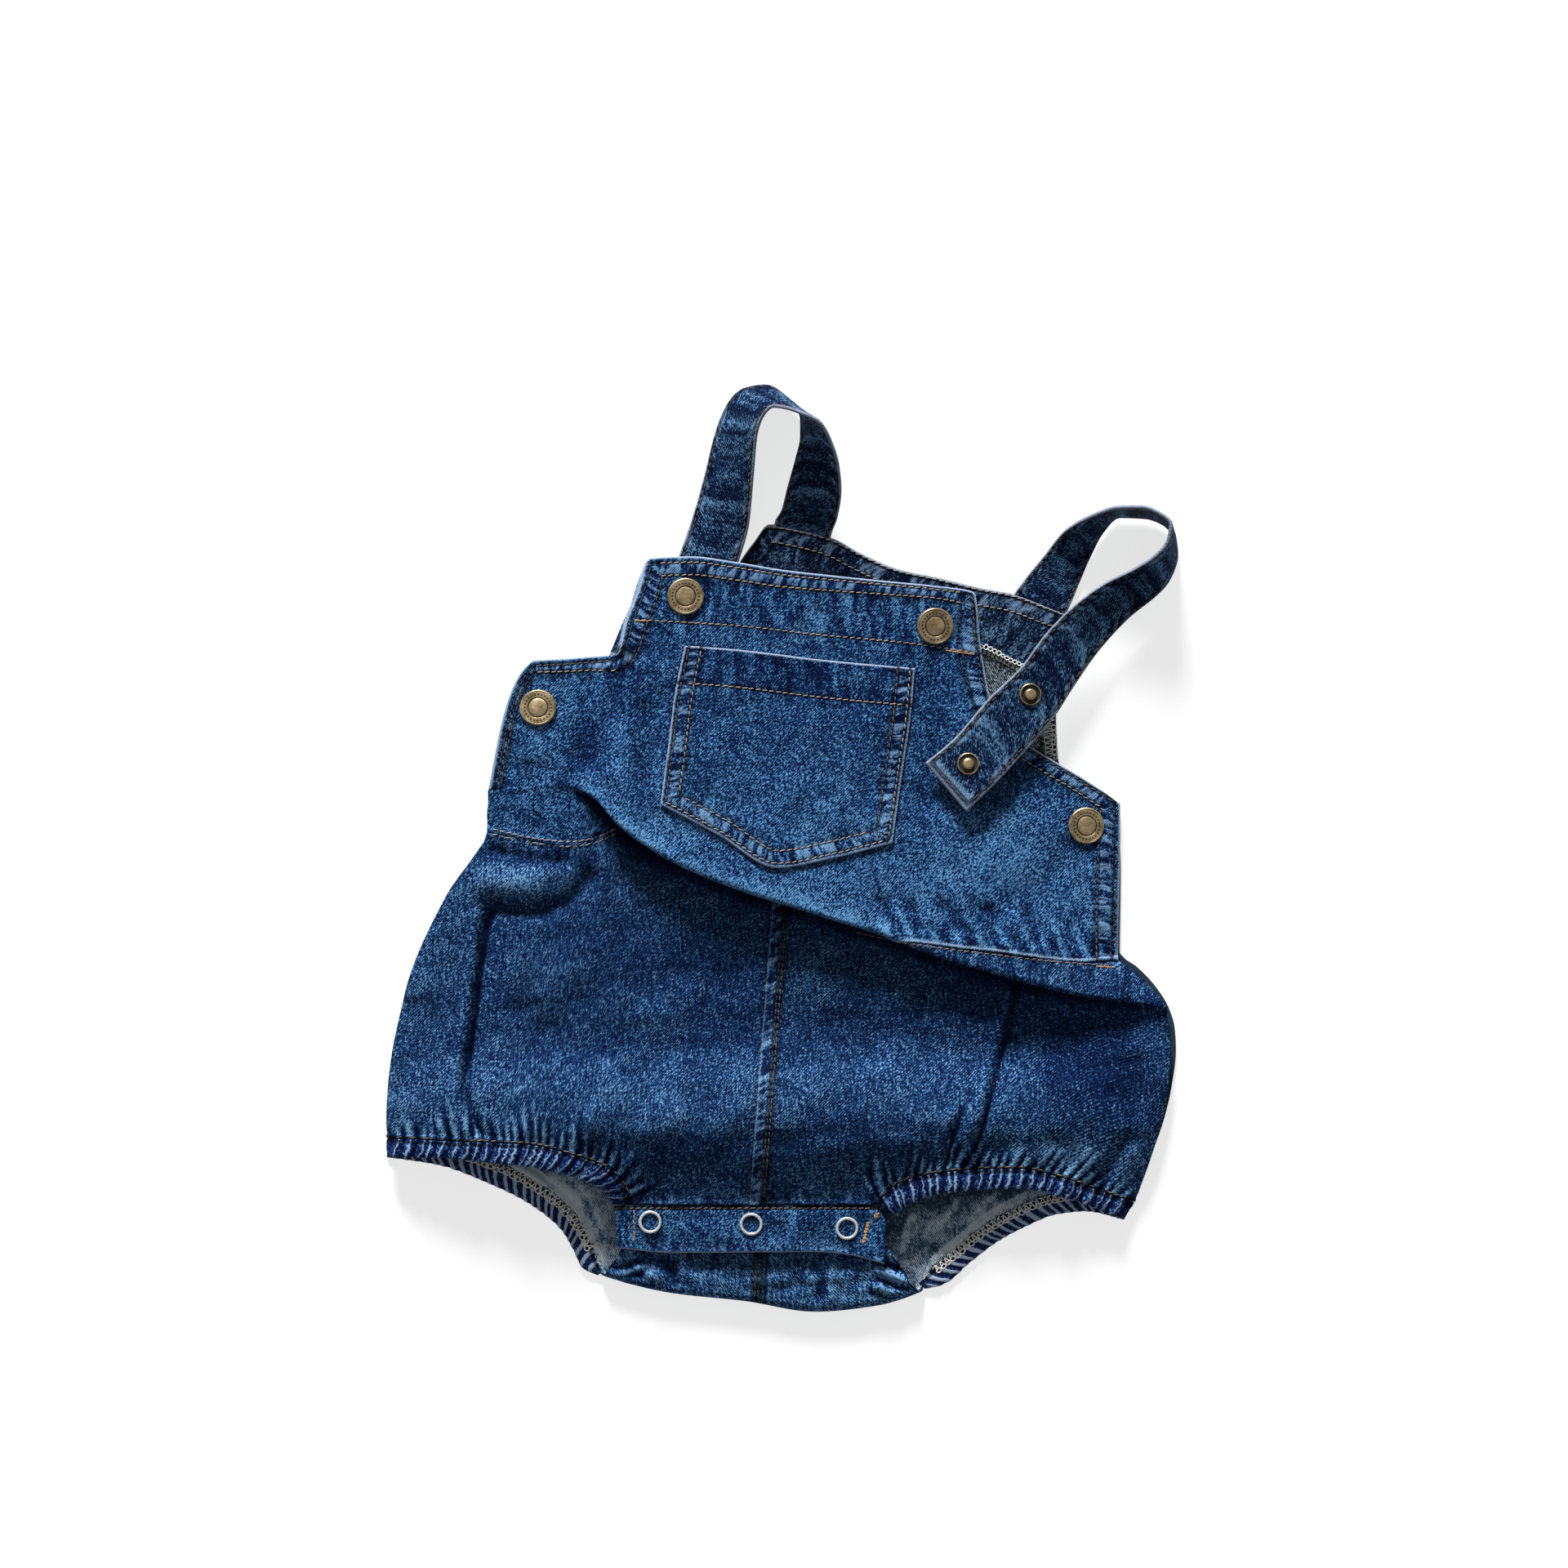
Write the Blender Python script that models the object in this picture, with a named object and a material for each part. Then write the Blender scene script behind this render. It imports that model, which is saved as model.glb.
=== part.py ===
"""A baby's denim dungaree romper, laid face up with its bib slumped over the waist seam.

Tables and sizes are in millimetres, and MM turns them into the scene's metres. Left and right are
as seen from above: left is -X, the neck is +Y and the crotch is -Y. The garment's underside rests
on Z = 0, and the origin is the middle of its outline on that plane.
"""

import math
from collections import namedtuple

import bmesh
import bpy
from mathutils import Vector

MM = 0.001

# Cloth and seams
DENIM = 1.2  # thickness of one layer of denim, with its turned edges averaged in
STRAP_DENIM = 1.5  # a strap is two layers
BAND_DENIM = 1.6  # the crotch band is two layers
SEAM_GAP = 0.3  # between two pieces that are sewn together
LEG_GAP = 0.95  # between a gathered casing and its panel, whose edge is in straighter steps
SIDE_HEIGHT = 2.2  # height of the front cloth's middle where it is sewn to the back cloth
SIDE_ROUND = 20.0  # how far in from its sides the front cloth reaches its full height
BACK_HEIGHT = DENIM / 2  # height of the back cloth's middle

# Metal parts
CAP_RADIUS = 7.6
CAP_HEIGHT = 2.6
STUD_RADIUS = 4.4
STUD_HEIGHT = 2.8
RING_RADIUS = 4.1
RING_WIRE = 0.55

# The garment's side outlines at each height up the body
SideRow = namedtuple("SideRow", "y left right")
SIDES = (
    SideRow(-175.0, -120.0, 120.0),
    SideRow(-155.0, -144.0, 142.5),
    SideRow(-148.6, -150.0, 146.9),
    SideRow(-138.4, -158.0, 151.0),
    SideRow(-128.2, -163.9, 154.8),
    SideRow(-112.9, -164.6, 159.8),
    SideRow(-101.0, -164.2, 162.3),
    SideRow(-85.7, -162.5, 163.9),
    SideRow(-75.5, -160.6, 163.2),
    SideRow(-67.0, -158.7, 160.5),
    SideRow(-56.8, -156.2, 153.7),
    SideRow(-50.0, -154.0, 146.9),
    SideRow(-44.2, -151.8, 139.6),
    SideRow(-21.1, -140.6, 140.1),
    SideRow(10.0, -122.0, 141.0),
    SideRow(24.5, -120.8, 141.2),
    SideRow(38.4, -118.3, 141.2),
    SideRow(52.0, -115.6, 141.2),
    SideRow(63.9, -112.2, 141.2),
    SideRow(77.5, -103.0, 141.2),
)

# How far the front of the bloomers puffs up over its side seams, along the body
PuffRow = namedtuple("PuffRow", "y rise")
PUFF = (
    PuffRow(-165.0, 6.2),
    PuffRow(-148.6, 6.2),
    PuffRow(-138.0, 8.6),
    PuffRow(-126.0, 13.4),
    PuffRow(-113.0, 16.5),
    PuffRow(-100.0, 14.4),
    PuffRow(-86.0, 10.0),
    PuffRow(-72.0, 7.6),
    PuffRow(-48.0, 5.8),
    PuffRow(-20.0, 5.4),
    PuffRow(12.0, 5.4),
)

# The fold in which the front cloth hangs over itself. front is its lowest edge, turn the angle
# that the cloth turns under, run the straight stretch beneath, drop its whole height.
FoldRow = namedtuple("FoldRow", "x front turn run drop")
FOLD = (
    FoldRow(-125.0, 22.0, 15.0, 0.0, 0.3),
    FoldRow(-88.0, 25.0, 25.0, 0.0, 0.9),
    FoldRow(-78.0, 20.0, 95.0, 1.0, 5.5),
    FoldRow(-67.0, 9.5, 165.0, 4.0, 10.0),
    FoldRow(-43.0, -6.5, 172.0, 9.0, 12.8),
    FoldRow(-16.0, -17.7, 172.0, 11.0, 13.2),
    FoldRow(14.0, -27.2, 172.0, 11.0, 13.2),
    FoldRow(41.5, -36.0, 172.0, 10.0, 12.6),
    FoldRow(65.0, -45.0, 172.0, 9.0, 12.0),
    FoldRow(99.0, -55.0, 172.0, 7.0, 11.0),
    FoldRow(125.0, -61.5, 170.0, 5.0, 8.5),
    FoldRow(139.0, -63.5, 150.0, 3.0, 6.5),
    FoldRow(150.0, -65.0, 100.0, 1.0, 3.6),
    FoldRow(161.0, -68.0, 25.0, 0.0, 0.9),
)
FRONT_ROLL = 0.68  # the front roll's share of the two radii

# How far past the start of the front roll the waist seam lies, measured along the cloth. It is
# negative where the seam shows above the roll, and from x = 139.4 on it is the side seam.
SeamRow = namedtuple("SeamRow", "x past")
WAIST_SEAM = (
    SeamRow(-121.7, 15.5),
    SeamRow(-108.0, 18.5),
    SeamRow(-88.0, 24.0),
    SeamRow(-78.0, 21.8),
    SeamRow(-67.0, 24.0),
    SeamRow(-43.0, 29.5),
    SeamRow(-16.0, 31.5),
    SeamRow(-1.0, 29.4),
    SeamRow(14.0, 21.0),
    SeamRow(28.0, 12.0),
    SeamRow(41.5, 5.0),
    SeamRow(58.5, -1.8),
    SeamRow(75.5, -5.2),
    SeamRow(92.5, -8.4),
    SeamRow(109.5, -10.8),
    SeamRow(126.5, -13.2),
    SeamRow(139.4, -15.5),
    SeamRow(147.0, -11.8),
    SeamRow(154.0, -6.3),
    SeamRow(161.0, -0.5),
)

# The bodice from wing to wing: its top edge, and where the cloth below each point meets the fold
TopRow = namedtuple("TopRow", "x y z foot")
BODICE_TOP = (
    TopRow(-103.0, 77.5, 2.3, -121.7),  # left wing's outer corner
    TopRow(-91.0, 78.2, 2.5, -108.0),
    TopRow(-80.9, 78.9, 2.8, -98.0),
    TopRow(-68.3, 80.2, 3.8, -86.0),  # left armhole
    TopRow(-63.2, 94.5, 5.2, -78.0),
    TopRow(-58.8, 106.4, 6.6, -72.0),
    TopRow(-54.1, 119.7, 7.6, -65.0),  # bib's left corner
    TopRow(-36.7, 120.4, 8.2, -47.0),
    TopRow(-19.7, 118.3, 8.4, -29.0),
    TopRow(0.7, 114.9, 8.4, -7.0),
    TopRow(24.5, 112.2, 8.2, 18.0),
    TopRow(48.3, 109.8, 7.8, 44.0),
    TopRow(65.3, 108.1, 6.8, 64.0),
    TopRow(80.3, 105.4, 5.6, 82.0),  # bib's right corner
    TopRow(82.6, 86.0, 5.8, 89.0),
    TopRow(84.7, 72.4, 6.0, 94.0),
    TopRow(87.0, 61.9, 6.2, 99.0),
    TopRow(94.2, 46.9, 5.8, 107.0),  # right armhole
    TopRow(103.7, 41.5, 5.0, 113.5),
    TopRow(116.3, 34.0, 4.2, 121.5),
    TopRow(129.9, 25.8, 3.2, 131.5),
    TopRow(141.1, 17.7, 2.6, 139.4),  # right wing's outer corner
)
LEFT_WING_EDGE = ((-103.0, 77.5), (-108.1, 72.4), (-112.2, 63.9), (-115.6, 52.0), (-118.3, 38.4), (-120.8, 24.5))
RIGHT_WING_EDGE = ((141.1, 17.7), (140.7, -4.0), (140.1, -21.1), (139.4, -61.0))

# Creases of the front: a soft trough, or a step down to the side, along a line up the body
CreaseRow = namedtuple("CreaseRow", "y x")
LEFT_PLEAT = (CreaseRow(-124.0, -123.0), CreaseRow(-106.0, -128.5), CreaseRow(-65.0, -125.8), CreaseRow(-18.0, -120.5))
RIGHT_PLEAT = (CreaseRow(-130.0, 70.0), CreaseRow(-106.0, 87.0), CreaseRow(-82.0, 93.2), CreaseRow(-50.0, 98.0))
PLEAT_DEPTH = 2.2
PLEAT_WIDTH = 5.0
PLEAT_FADE = 14.0  # length over which a pleat's ends fade out
STEP_REACH = 40.0  # how far beside a stepped pleat the cloth stays low

# Leg casings: inner edge, where it is stitched to the bloomers, and outer edge, from side to crotch
CasingRow = namedtuple("CasingRow", "inner_x inner_y outer_x outer_y")
FRONT_LEFT_CASING = (
    CasingRow(-163.2, -121.0, -163.2, -128.6),
    CasingRow(-142.1, -121.6, -142.1, -128.6),
    CasingRow(-121.7, -122.3, -121.7, -130.4),
    CasingRow(-104.7, -122.9, -106.0, -131.8),
    CasingRow(-88.0, -126.8, -92.0, -134.5),
    CasingRow(-73.0, -132.2, -80.0, -138.5),
    CasingRow(-65.5, -139.5, -72.5, -142.8),
    CasingRow(-62.5, -148.2, -70.0, -148.2),
)
FRONT_RIGHT_CASING = (
    CasingRow(146.8, -147.8, 142.8, -154.9),
    CasingRow(130.5, -142.1, 128.4, -149.0),
    CasingRow(116.3, -137.0, 115.0, -144.6),
    CasingRow(98.0, -133.2, 98.0, -141.2),
    CasingRow(80.0, -133.6, 81.0, -141.8),
    CasingRow(60.0, -135.9, 63.5, -144.0),
    CasingRow(48.0, -140.0, 53.0, -148.0),
    CasingRow(40.2, -147.8, 46.0, -152.6),
)
BACK_LEFT_CASING = (
    CasingRow(-163.4, -121.4, -163.9, -129.2),
    CasingRow(-140.0, -124.6, -142.1, -132.6),
    CasingRow(-118.0, -131.4, -121.7, -140.1),
    CasingRow(-100.0, -141.0, -104.7, -148.6),
    CasingRow(-85.6, -153.6, -91.1, -159.8),
    CasingRow(-79.0, -165.4, -86.0, -168.4),
    CasingRow(-76.2, -172.8, -82.4, -175.4),
)
BACK_RIGHT_CASING = (
    CasingRow(146.4, -147.6, 142.7, -155.2),
    CasingRow(124.5, -143.9, 126.5, -151.8),
    CasingRow(112.0, -145.4, 115.0, -153.0),
    CasingRow(99.0, -150.2, 103.0, -157.6),
    CasingRow(85.0, -157.8, 90.0, -164.6),
    CasingRow(73.0, -167.4, 79.0, -172.9),
    CasingRow(60.8, -178.0, 66.6, -182.6),
)
GATHER_LENGTH = 5.4  # along the casing, from one gather to the next
HEM_RIPPLE = 0.9  # how far those gathers ripple the panel above
CROTCH_SEAM = -148.6  # y of the seam between the front panels and the crotch band
GATHER_STATIONS = 3  # sections for each gather
GATHER_DEPTH = 0.7
CASING_THICKNESS = 2.6
CASING_ENDS_FLAT = 4.0  # length at each end over which the gathers die away

# The back of the bloomers turns up at the crotch and ends under the front's snap band.
# past is the length of cloth beyond the start of that turn.
CrotchRow = namedtuple("CrotchRow", "x fold past")
CROTCH = (
    CrotchRow(-74.4, -177.6, 3.0),
    CrotchRow(-71.0, -178.8, 9.5),
    CrotchRow(-67.5, -179.8, 15.5),
    CrotchRow(-64.0, -180.9, 22.0),
    CrotchRow(-43.5, -185.3, 27.0),
    CrotchRow(-14.6, -188.4, 30.0),
    CrotchRow(14.3, -192.8, 34.0),
    CrotchRow(41.5, -190.0, 31.0),
    CrotchRow(47.0, -188.6, 24.0),
    CrotchRow(52.5, -186.8, 13.0),
    CrotchRow(58.6, -184.4, 3.0),
)
CROTCH_RADIUS = 2.4
CROTCH_SHARES = (0.0, 0.03, 0.06, 0.1, 0.15, 0.22, 0.34, 0.5, 0.7, 1.0)  # from its corner to its centre
BAND_HEIGHT = 8.2
BAND_TOP = ((-68.8, -148.9), (-11.0, -148.9), (39.0, -148.9))
BAND_FOOT = ((-67.6, -166.4), (-45.0, -168.4), (14.0, -168.0), (29.0, -169.4), (43.0, -173.0))
BAND_RIGHT_END = ((39.0, -148.9), (43.6, -156.0), (43.0, -173.0))

# The back bodice, whose inside faces up, and the facing sewn along its neck edge
BACK_TOP = (
    (-101.0, 75.5), (-80.0, 76.6), (-58.0, 77.6), (-41.0, 85.0), (-27.0, 100.0), (-18.0, 117.0),
    (-10.5, 127.6), (-4.6, 134.2), (10.0, 131.6), (21.1, 128.5), (34.7, 121.7), (48.3, 115.9),
    (65.3, 112.2), (82.3, 108.1), (97.6, 105.1), (110.0, 100.5), (120.6, 95.8), (116.8, 80.0),
    (114.6, 60.0), (115.6, 36.0), (120.0, 29.6), (130.0, 23.8), (140.2, 17.2),
)
BACK_LEFT_EDGE = ((-101.0, 75.5), (-110.6, 63.4), (-116.9, 38.0), (-120.6, 7.8))
BACK_RIGHT_EDGE = ((140.2, 17.2), (141.6, -10.0), (141.2, -44.4))
BACK_WAIST = ((-120.6, 7.8), (-1.0, -16.0), (141.2, -44.4))
FACING_TOP = ((-6.0, 131.6), (10.0, 130.8), (21.1, 127.6), (48.3, 115.1), (82.3, 107.3), (97.6, 104.3), (117.0, 96.6))
FACING_FOOT = ((-19.0, 104.0), (10.0, 103.0), (34.7, 95.0), (60.0, 87.0), (84.0, 82.0), (99.0, 74.6), (113.6, 68.0))
FACING_DENIM = 0.8
CENTRE_SEAM_TOP = -1.0  # x of the centre seams at the waist
CENTRE_SEAM_FRONT = -10.9  # x of the front one at the crotch band
CENTRE_SEAM_BACK = -9.5  # x of the back one at the crotch fold

# Patch pocket on the bib
POCKET_TOP = ((-39.8, 83.3), (-20.0, 81.9), (20.0, 77.2), (55.6, 74.0))
POCKET_LEFT = ((-39.8, 83.3), (-44.0, 62.0), (-46.4, 42.0), (-49.6, 17.6))
POCKET_RIGHT = ((55.6, 74.0), (53.8, 54.0), (50.0, 28.0), (46.2, 1.6))
POCKET_FOOT = ((-49.6, 17.6), (-26.0, 5.0), (-1.2, -8.6), (22.0, -4.6), (46.2, 1.6))

# Straps: the upper edge stands up round the loop and the lower edge stays near the floor
StrapRow = namedtuple("StrapRow", "upper_x upper_y upper_z lower_x lower_y lower_z")
LEFT_STRAP = (
    StrapRow(-29.8, 86.0, 5.8, -53.0, 89.5, 5.2),  # end, snapped under the bib
    StrapRow(-23.0, 103.0, 5.8, -47.6, 106.0, 5.2),
    StrapRow(-17.5, 118.0, 6.0, -42.6, 120.0, 4.8),
    StrapRow(-12.9, 135.0, 8.4, -36.7, 137.0, 3.0),
    StrapRow(-11.2, 154.0, 13.6, -31.3, 155.7, 1.6),
    StrapRow(-9.8, 170.0, 17.8, -26.9, 172.7, 1.0),
    StrapRow(-7.1, 177.8, 21.0, -22.1, 184.0, 0.95),
    StrapRow(-2.7, 181.6, 23.0, -15.6, 190.4, 0.95),
    StrapRow(1.9, 180.9, 24.4, -7.0, 191.9, 0.95),
    StrapRow(9.2, 178.5, 25.0, 2.0, 187.0, 0.95),
    StrapRow(15.3, 175.8, 25.2, 8.6, 178.6, 0.95),
    StrapRow(20.6, 168.0, 21.2, 8.4, 170.4, 0.95),
    StrapRow(24.1, 157.4, 16.4, 6.2, 161.2, 0.95),
    StrapRow(25.2, 147.2, 10.4, 2.9, 150.0, 0.95),
    StrapRow(23.6, 136.6, 4.4, 0.0, 139.4, 0.95),
    StrapRow(21.4, 130.4, 0.95, -2.4, 135.4, 0.95),
)
RIGHT_STRAP = (
    StrapRow(98.4, 107.2, 0.95, 119.6, 98.6, 0.95),
    StrapRow(109.4, 121.0, 2.6, 124.8, 110.8, 0.95),
    StrapRow(118.2, 131.6, 8.2, 129.4, 121.7, 0.95),
    StrapRow(129.6, 137.6, 17.0, 134.2, 131.2, 0.95),
    StrapRow(140.4, 140.3, 22.4, 141.4, 137.4, 0.95),
    StrapRow(149.0, 140.2, 24.6, 151.4, 137.0, 0.95),
    StrapRow(155.8, 137.6, 25.2, 158.8, 134.6, 0.95),
    StrapRow(160.6, 133.0, 25.4, 163.6, 129.6, 1.2),
    StrapRow(159.8, 127.4, 24.4, 164.6, 121.4, 3.0),
    StrapRow(154.4, 120.6, 22.2, 160.8, 110.0, 5.6),
    StrapRow(146.8, 115.6, 18.8, 155.2, 103.8, 6.6),
    StrapRow(133.2, 108.8, 15.2, 145.2, 95.6, 7.2),
    StrapRow(119.8, 98.6, 12.4, 131.8, 81.0, 7.8),
    StrapRow(109.4, 87.8, 11.2, 121.6, 66.4, 8.4),
    StrapRow(99.2, 74.2, 11.2, 113.0, 53.2, 9.4),
    StrapRow(86.8, 62.2, 12.4, 99.4, 37.6, 12.2),
    StrapRow(70.4, 43.6, 14.4, 89.2, 26.6, 15.0),
    StrapRow(59.6, 34.8, 15.6, 76.6, 14.6, 17.2),
)

# Metal parts on the cloth: centres as seen from above
CAPS = {
    "bib_snap_cap_left": (-39.4, 103.7),
    "bib_snap_cap_right": (63.9, 91.5),
    "side_snap_cap_left": (-100.6, 57.5),
    "side_snap_cap_right": (126.5, 8.5),
}
STUDS = {"strap_stud_upper": (103.4, 63.2), "strap_stud_lower": (77.5, 34.4)}
RINGS = {"crotch_ring_left": (-54.1, -155.4), "crotch_ring_middle": (-12.2, -156.4), "crotch_ring_right": (27.5, -158.1)}

# Strips of cloth that the front is divided into
BODICE_STRIPS = 27
BLOOMER_CORNER = (144.0, 149.0, 154.0, 158.0, 160.6)  # x of the right bloomer's strips beside the bodice


# --- Curves and tables ---------------------------------------------------------------------------

def lerp(a, b, t):
    return a + (b - a) * t


def smooth_step(t):
    t = min(max(t, 0.0), 1.0)
    return t * t * (3 - 2 * t)


def slope_between(before, after, gap_before, gap_after):
    """The slope at a knot: level at a turning point, so that the curve never overshoots."""
    if before * after <= 0:
        return 0.0
    return (gap_before + gap_after) * 2 / ((gap_before * 2 + gap_after) / after + (gap_before + gap_after * 2) / before) * 1.5


def interpolate(keys, values, at):
    """A smooth curve through the values, read at a key, and level beyond its ends."""
    if at <= keys[0]:
        return values[0]
    if at >= keys[-1]:
        return values[-1]
    gaps = [b - a for a, b in zip(keys, keys[1:])]
    rates = [(b - a) / gap for a, b, gap in zip(values, values[1:], gaps)]
    i = max(k for k in range(len(gaps)) if keys[k] <= at)
    start = rates[0] if i == 0 else slope_between(rates[i - 1], rates[i], gaps[i - 1], gaps[i])
    end = rates[-1] if i == len(gaps) - 1 else slope_between(rates[i], rates[i + 1], gaps[i], gaps[i + 1])
    t = (at - keys[i]) / gaps[i]
    return (
        values[i] * (1 + 2 * t) * (1 - t) ** 2
        + values[i + 1] * t * t * (3 - 2 * t)
        + gaps[i] * t * (1 - t) * (start * (1 - t) - end * t)
    )


def read(table, key, column, at):
    """One named column of a table at a value of another."""
    return interpolate([getattr(row, key) for row in table], [getattr(row, column) for row in table], at)


def along(points, t):
    """The point a share t of the way along a smooth line through points of any dimension."""
    steps = [0.0]
    for a, b in zip(points, points[1:]):
        steps.append(steps[-1] + math.dist(a, b))
    at = min(max(t, 0.0), 1.0) * steps[-1]
    return tuple(interpolate(steps, [p[k] for p in points], at) for k in range(len(points[0])))


def spaced(count, start=0.0, end=1.0):
    return [lerp(start, end, i / count) for i in range(count + 1)]


def patch(top, foot, left, right):
    """A flat patch between four edges, each a function of 0 to 1: (u, v) to (x, y). The side edges
    only bow it, so the corners are those of the top and foot."""
    def bow(side, v):
        return [side(v)[k] - lerp(side(0)[k], side(1)[k], v) for k in (0, 1)]

    def at(u, v):
        a, b = bow(left, v), bow(right, v)
        return [lerp(top(u)[k], foot(u)[k], v) + lerp(a[k], b[k], u) for k in (0, 1)]
    return at


def inset(edge, share, gap):
    """A point of an edge, a function of 0 to 1, moved off it by a gap to the left of its direction."""
    x, y = edge(share)
    ax, ay = edge(max(share - 0.004, 0.0))
    bx, by = edge(min(share + 0.004, 1.0))
    size = math.hypot(bx - ax, by - ay)
    return x - (by - ay) / size * gap, y + (bx - ax) / size * gap


# --- The cloth's shape ----------------------------------------------------------------------------

def pleat_window(table, y):
    """1 along a pleat, fading to 0 past its ends."""
    return smooth_step((y - table[0].y) / PLEAT_FADE + 0.5) * smooth_step((table[-1].y - y) / PLEAT_FADE + 0.5)


def puffed_height(x, y):
    """Height of the middle of the front cloth where it lies in a single layer over the back."""
    left, right = read(SIDES, "y", "left", y), read(SIDES, "y", "right", y)
    across = min(abs(x - (left + right) / 2) / ((right - left) / 2), 1.0)
    height = SIDE_HEIGHT + read(PUFF, "y", "rise", y) * math.sqrt(1 - across**4)
    beside = (x - read(LEFT_PLEAT, "y", "x", y)) / PLEAT_WIDTH
    height -= PLEAT_DEPTH * math.exp(-beside * beside) * pleat_window(LEFT_PLEAT, y)
    past = (x - read(RIGHT_PLEAT, "y", "x", y)) / PLEAT_WIDTH
    low = smooth_step(past + 0.5) * (1 - smooth_step(past * PLEAT_WIDTH / STEP_REACH))
    return height - PLEAT_DEPTH * low * pleat_window(RIGHT_PLEAT, y)


class Fold:
    """The section of the front cloth through its fold at one x. q is the distance along the cloth
    past the start of the front roll: the roll, the run beneath it, the hidden roll, then on down."""

    def __init__(self, x):
        self.x = x
        self.turn = math.radians(read(FOLD, "x", "turn", x))
        self.run = read(FOLD, "x", "run", x)
        self.drop = read(FOLD, "x", "drop", x)
        radii = (self.drop - self.run * math.sin(self.turn)) / (1 - math.cos(self.turn))
        self.front, self.hidden = radii * FRONT_ROLL, radii * (1 - FRONT_ROLL)
        front_edge = read(FOLD, "x", "front", x)
        self.start_y = front_edge + self.front * math.sin(min(self.turn, math.pi / 2))
        self.length = (self.front + self.hidden) * self.turn + self.run
        self.end_y = self.start_y - radii * math.sin(self.turn) - self.run * math.cos(self.turn)
        self.start_z = puffed_height(x, self.end_y) + self.drop

    def at(self, q):
        """(y, z) at a distance past the start of the roll, from 0."""
        y, z = self.start_y, self.start_z
        bend = min(q / self.front, self.turn)
        y -= self.front * math.sin(bend)
        z -= self.front * (1 - math.cos(bend))
        q -= self.front * self.turn
        if q <= 0:
            return y, z
        straight = min(q, self.run)
        y -= straight * math.cos(self.turn)
        z -= straight * math.sin(self.turn)
        q -= self.run
        if q <= 0:
            return y, z
        bend = max(self.turn - q / self.hidden, 0.0)
        y -= self.hidden * (math.sin(self.turn) - math.sin(bend))
        z -= self.hidden * (math.cos(bend) - math.cos(self.turn))
        q -= self.hidden * self.turn
        if q <= 0:
            return y, z
        return self.end_y - q, puffed_height(self.x, self.end_y - q)


def bodice_top(u):
    return along([(row.x, row.y) for row in BODICE_TOP], u)


def bodice_values(u):
    """(edge height, foot x) of the bodice's strip that starts a share u along its top edge."""
    steps = [0.0]
    for a, b in zip(BODICE_TOP, BODICE_TOP[1:]):
        steps.append(steps[-1] + math.dist((a.x, a.y), (b.x, b.y)))
    at = u * steps[-1]
    return interpolate(steps, [row.z for row in BODICE_TOP], at), interpolate(steps, [row.foot for row in BODICE_TOP], at)


def side_rounded(x, y, z):
    """A height of the top layer, brought down near the side seams."""
    inside = min(x - read(SIDES, "y", "left", y), read(SIDES, "y", "right", y) - x)
    near = 1 - min(max(inside / SIDE_ROUND, 0.0), 1.0)
    return SIDE_HEIGHT + (z - SIDE_HEIGHT) * math.sqrt(1 - near * near)


def bodice_upper(u, v):
    """A point of the bodice above its fold: v is 0 at the top edge and 1 at the start of the roll."""
    def foot(share):
        x = bodice_values(share)[1]
        return x, Fold(x).start_y

    x, y = patch(bodice_top, foot, lambda t: along(LEFT_WING_EDGE, t), lambda t: along(RIGHT_WING_EDGE, t))(u, v)
    edge_z, foot_x = bodice_values(u)
    return x, y, side_rounded(x, y, lerp(edge_z, Fold(foot_x).start_z, smooth_step(v)))


class Column:
    """A line down the front cloth through its fold, below a share u of the bodice's top edge or,
    beside the bodice, at one x. at takes the distance along the cloth past the start of the roll."""

    def __init__(self, u=None, x=None):
        self.u = u
        self.x = x if u is None else bodice_values(u)[1]
        self.fold = Fold(self.x)
        self.drape = u is not None and math.dist(bodice_top(u), (self.x, self.fold.start_y))
        self.seam = read(WAIST_SEAM, "x", "past", self.x)

    def at(self, q):
        if q >= 0:
            return (self.x, *self.fold.at(q))
        if self.u is not None:
            return bodice_upper(self.u, 1 + q / self.drape)
        y, z = self.fold.start_y - q, self.fold.start_z
        return self.x, y, lerp(z, side_rounded(self.x, y, z), smooth_step(-q / 6))


def share_above(x):
    """How far along its top edge the bodice's column is that meets the fold at x."""
    low, high = 0.0, 1.0
    for _ in range(30):
        middle = (low + high) / 2
        low, high = (middle, high) if bodice_values(middle)[1] < x else (low, middle)
    return low


def bodice_columns():
    """The columns of the bodice, closer together where the waist seam runs into the fold."""
    centre = share_above(CENTRE_SEAM_TOP + SEAM_GAP / 2)
    shares = [u for u in spaced(BODICE_STRIPS) if abs(u - centre) > 0.3 / BODICE_STRIPS] + [centre]
    shares.sort()
    middles = [(a + b) / 2 for a, b in zip(shares, shares[1:])]
    shares += [u for u in middles if CENTRE_SEAM_TOP < bodice_values(u)[1] < 50]
    return [Column(u=u) for u in sorted(shares)]


def bodice_height(x, y):
    """Height of the bodice's middle surface under a point of the bib or a wing."""
    u, v = 0.5, 0.5
    for _ in range(40):
        px, py, _ = bodice_upper(u, v)
        ux, uy, _ = bodice_upper(u + 0.01, v)
        vx, vy, _ = bodice_upper(u, v + 0.01)
        a, b, c, d = (ux - px) * 100, (vx - px) * 100, (uy - py) * 100, (vy - py) * 100
        size = a * d - b * c
        u = min(max(u + 0.6 * ((x - px) * d - (y - py) * b) / size, 0.0), 0.99)
        v = min(max(v + 0.6 * ((y - py) * a - (x - px) * c) / size, 0.0), 0.99)
    return bodice_upper(u, v)[2]


# --- Building solids ------------------------------------------------------------------------------

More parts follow.
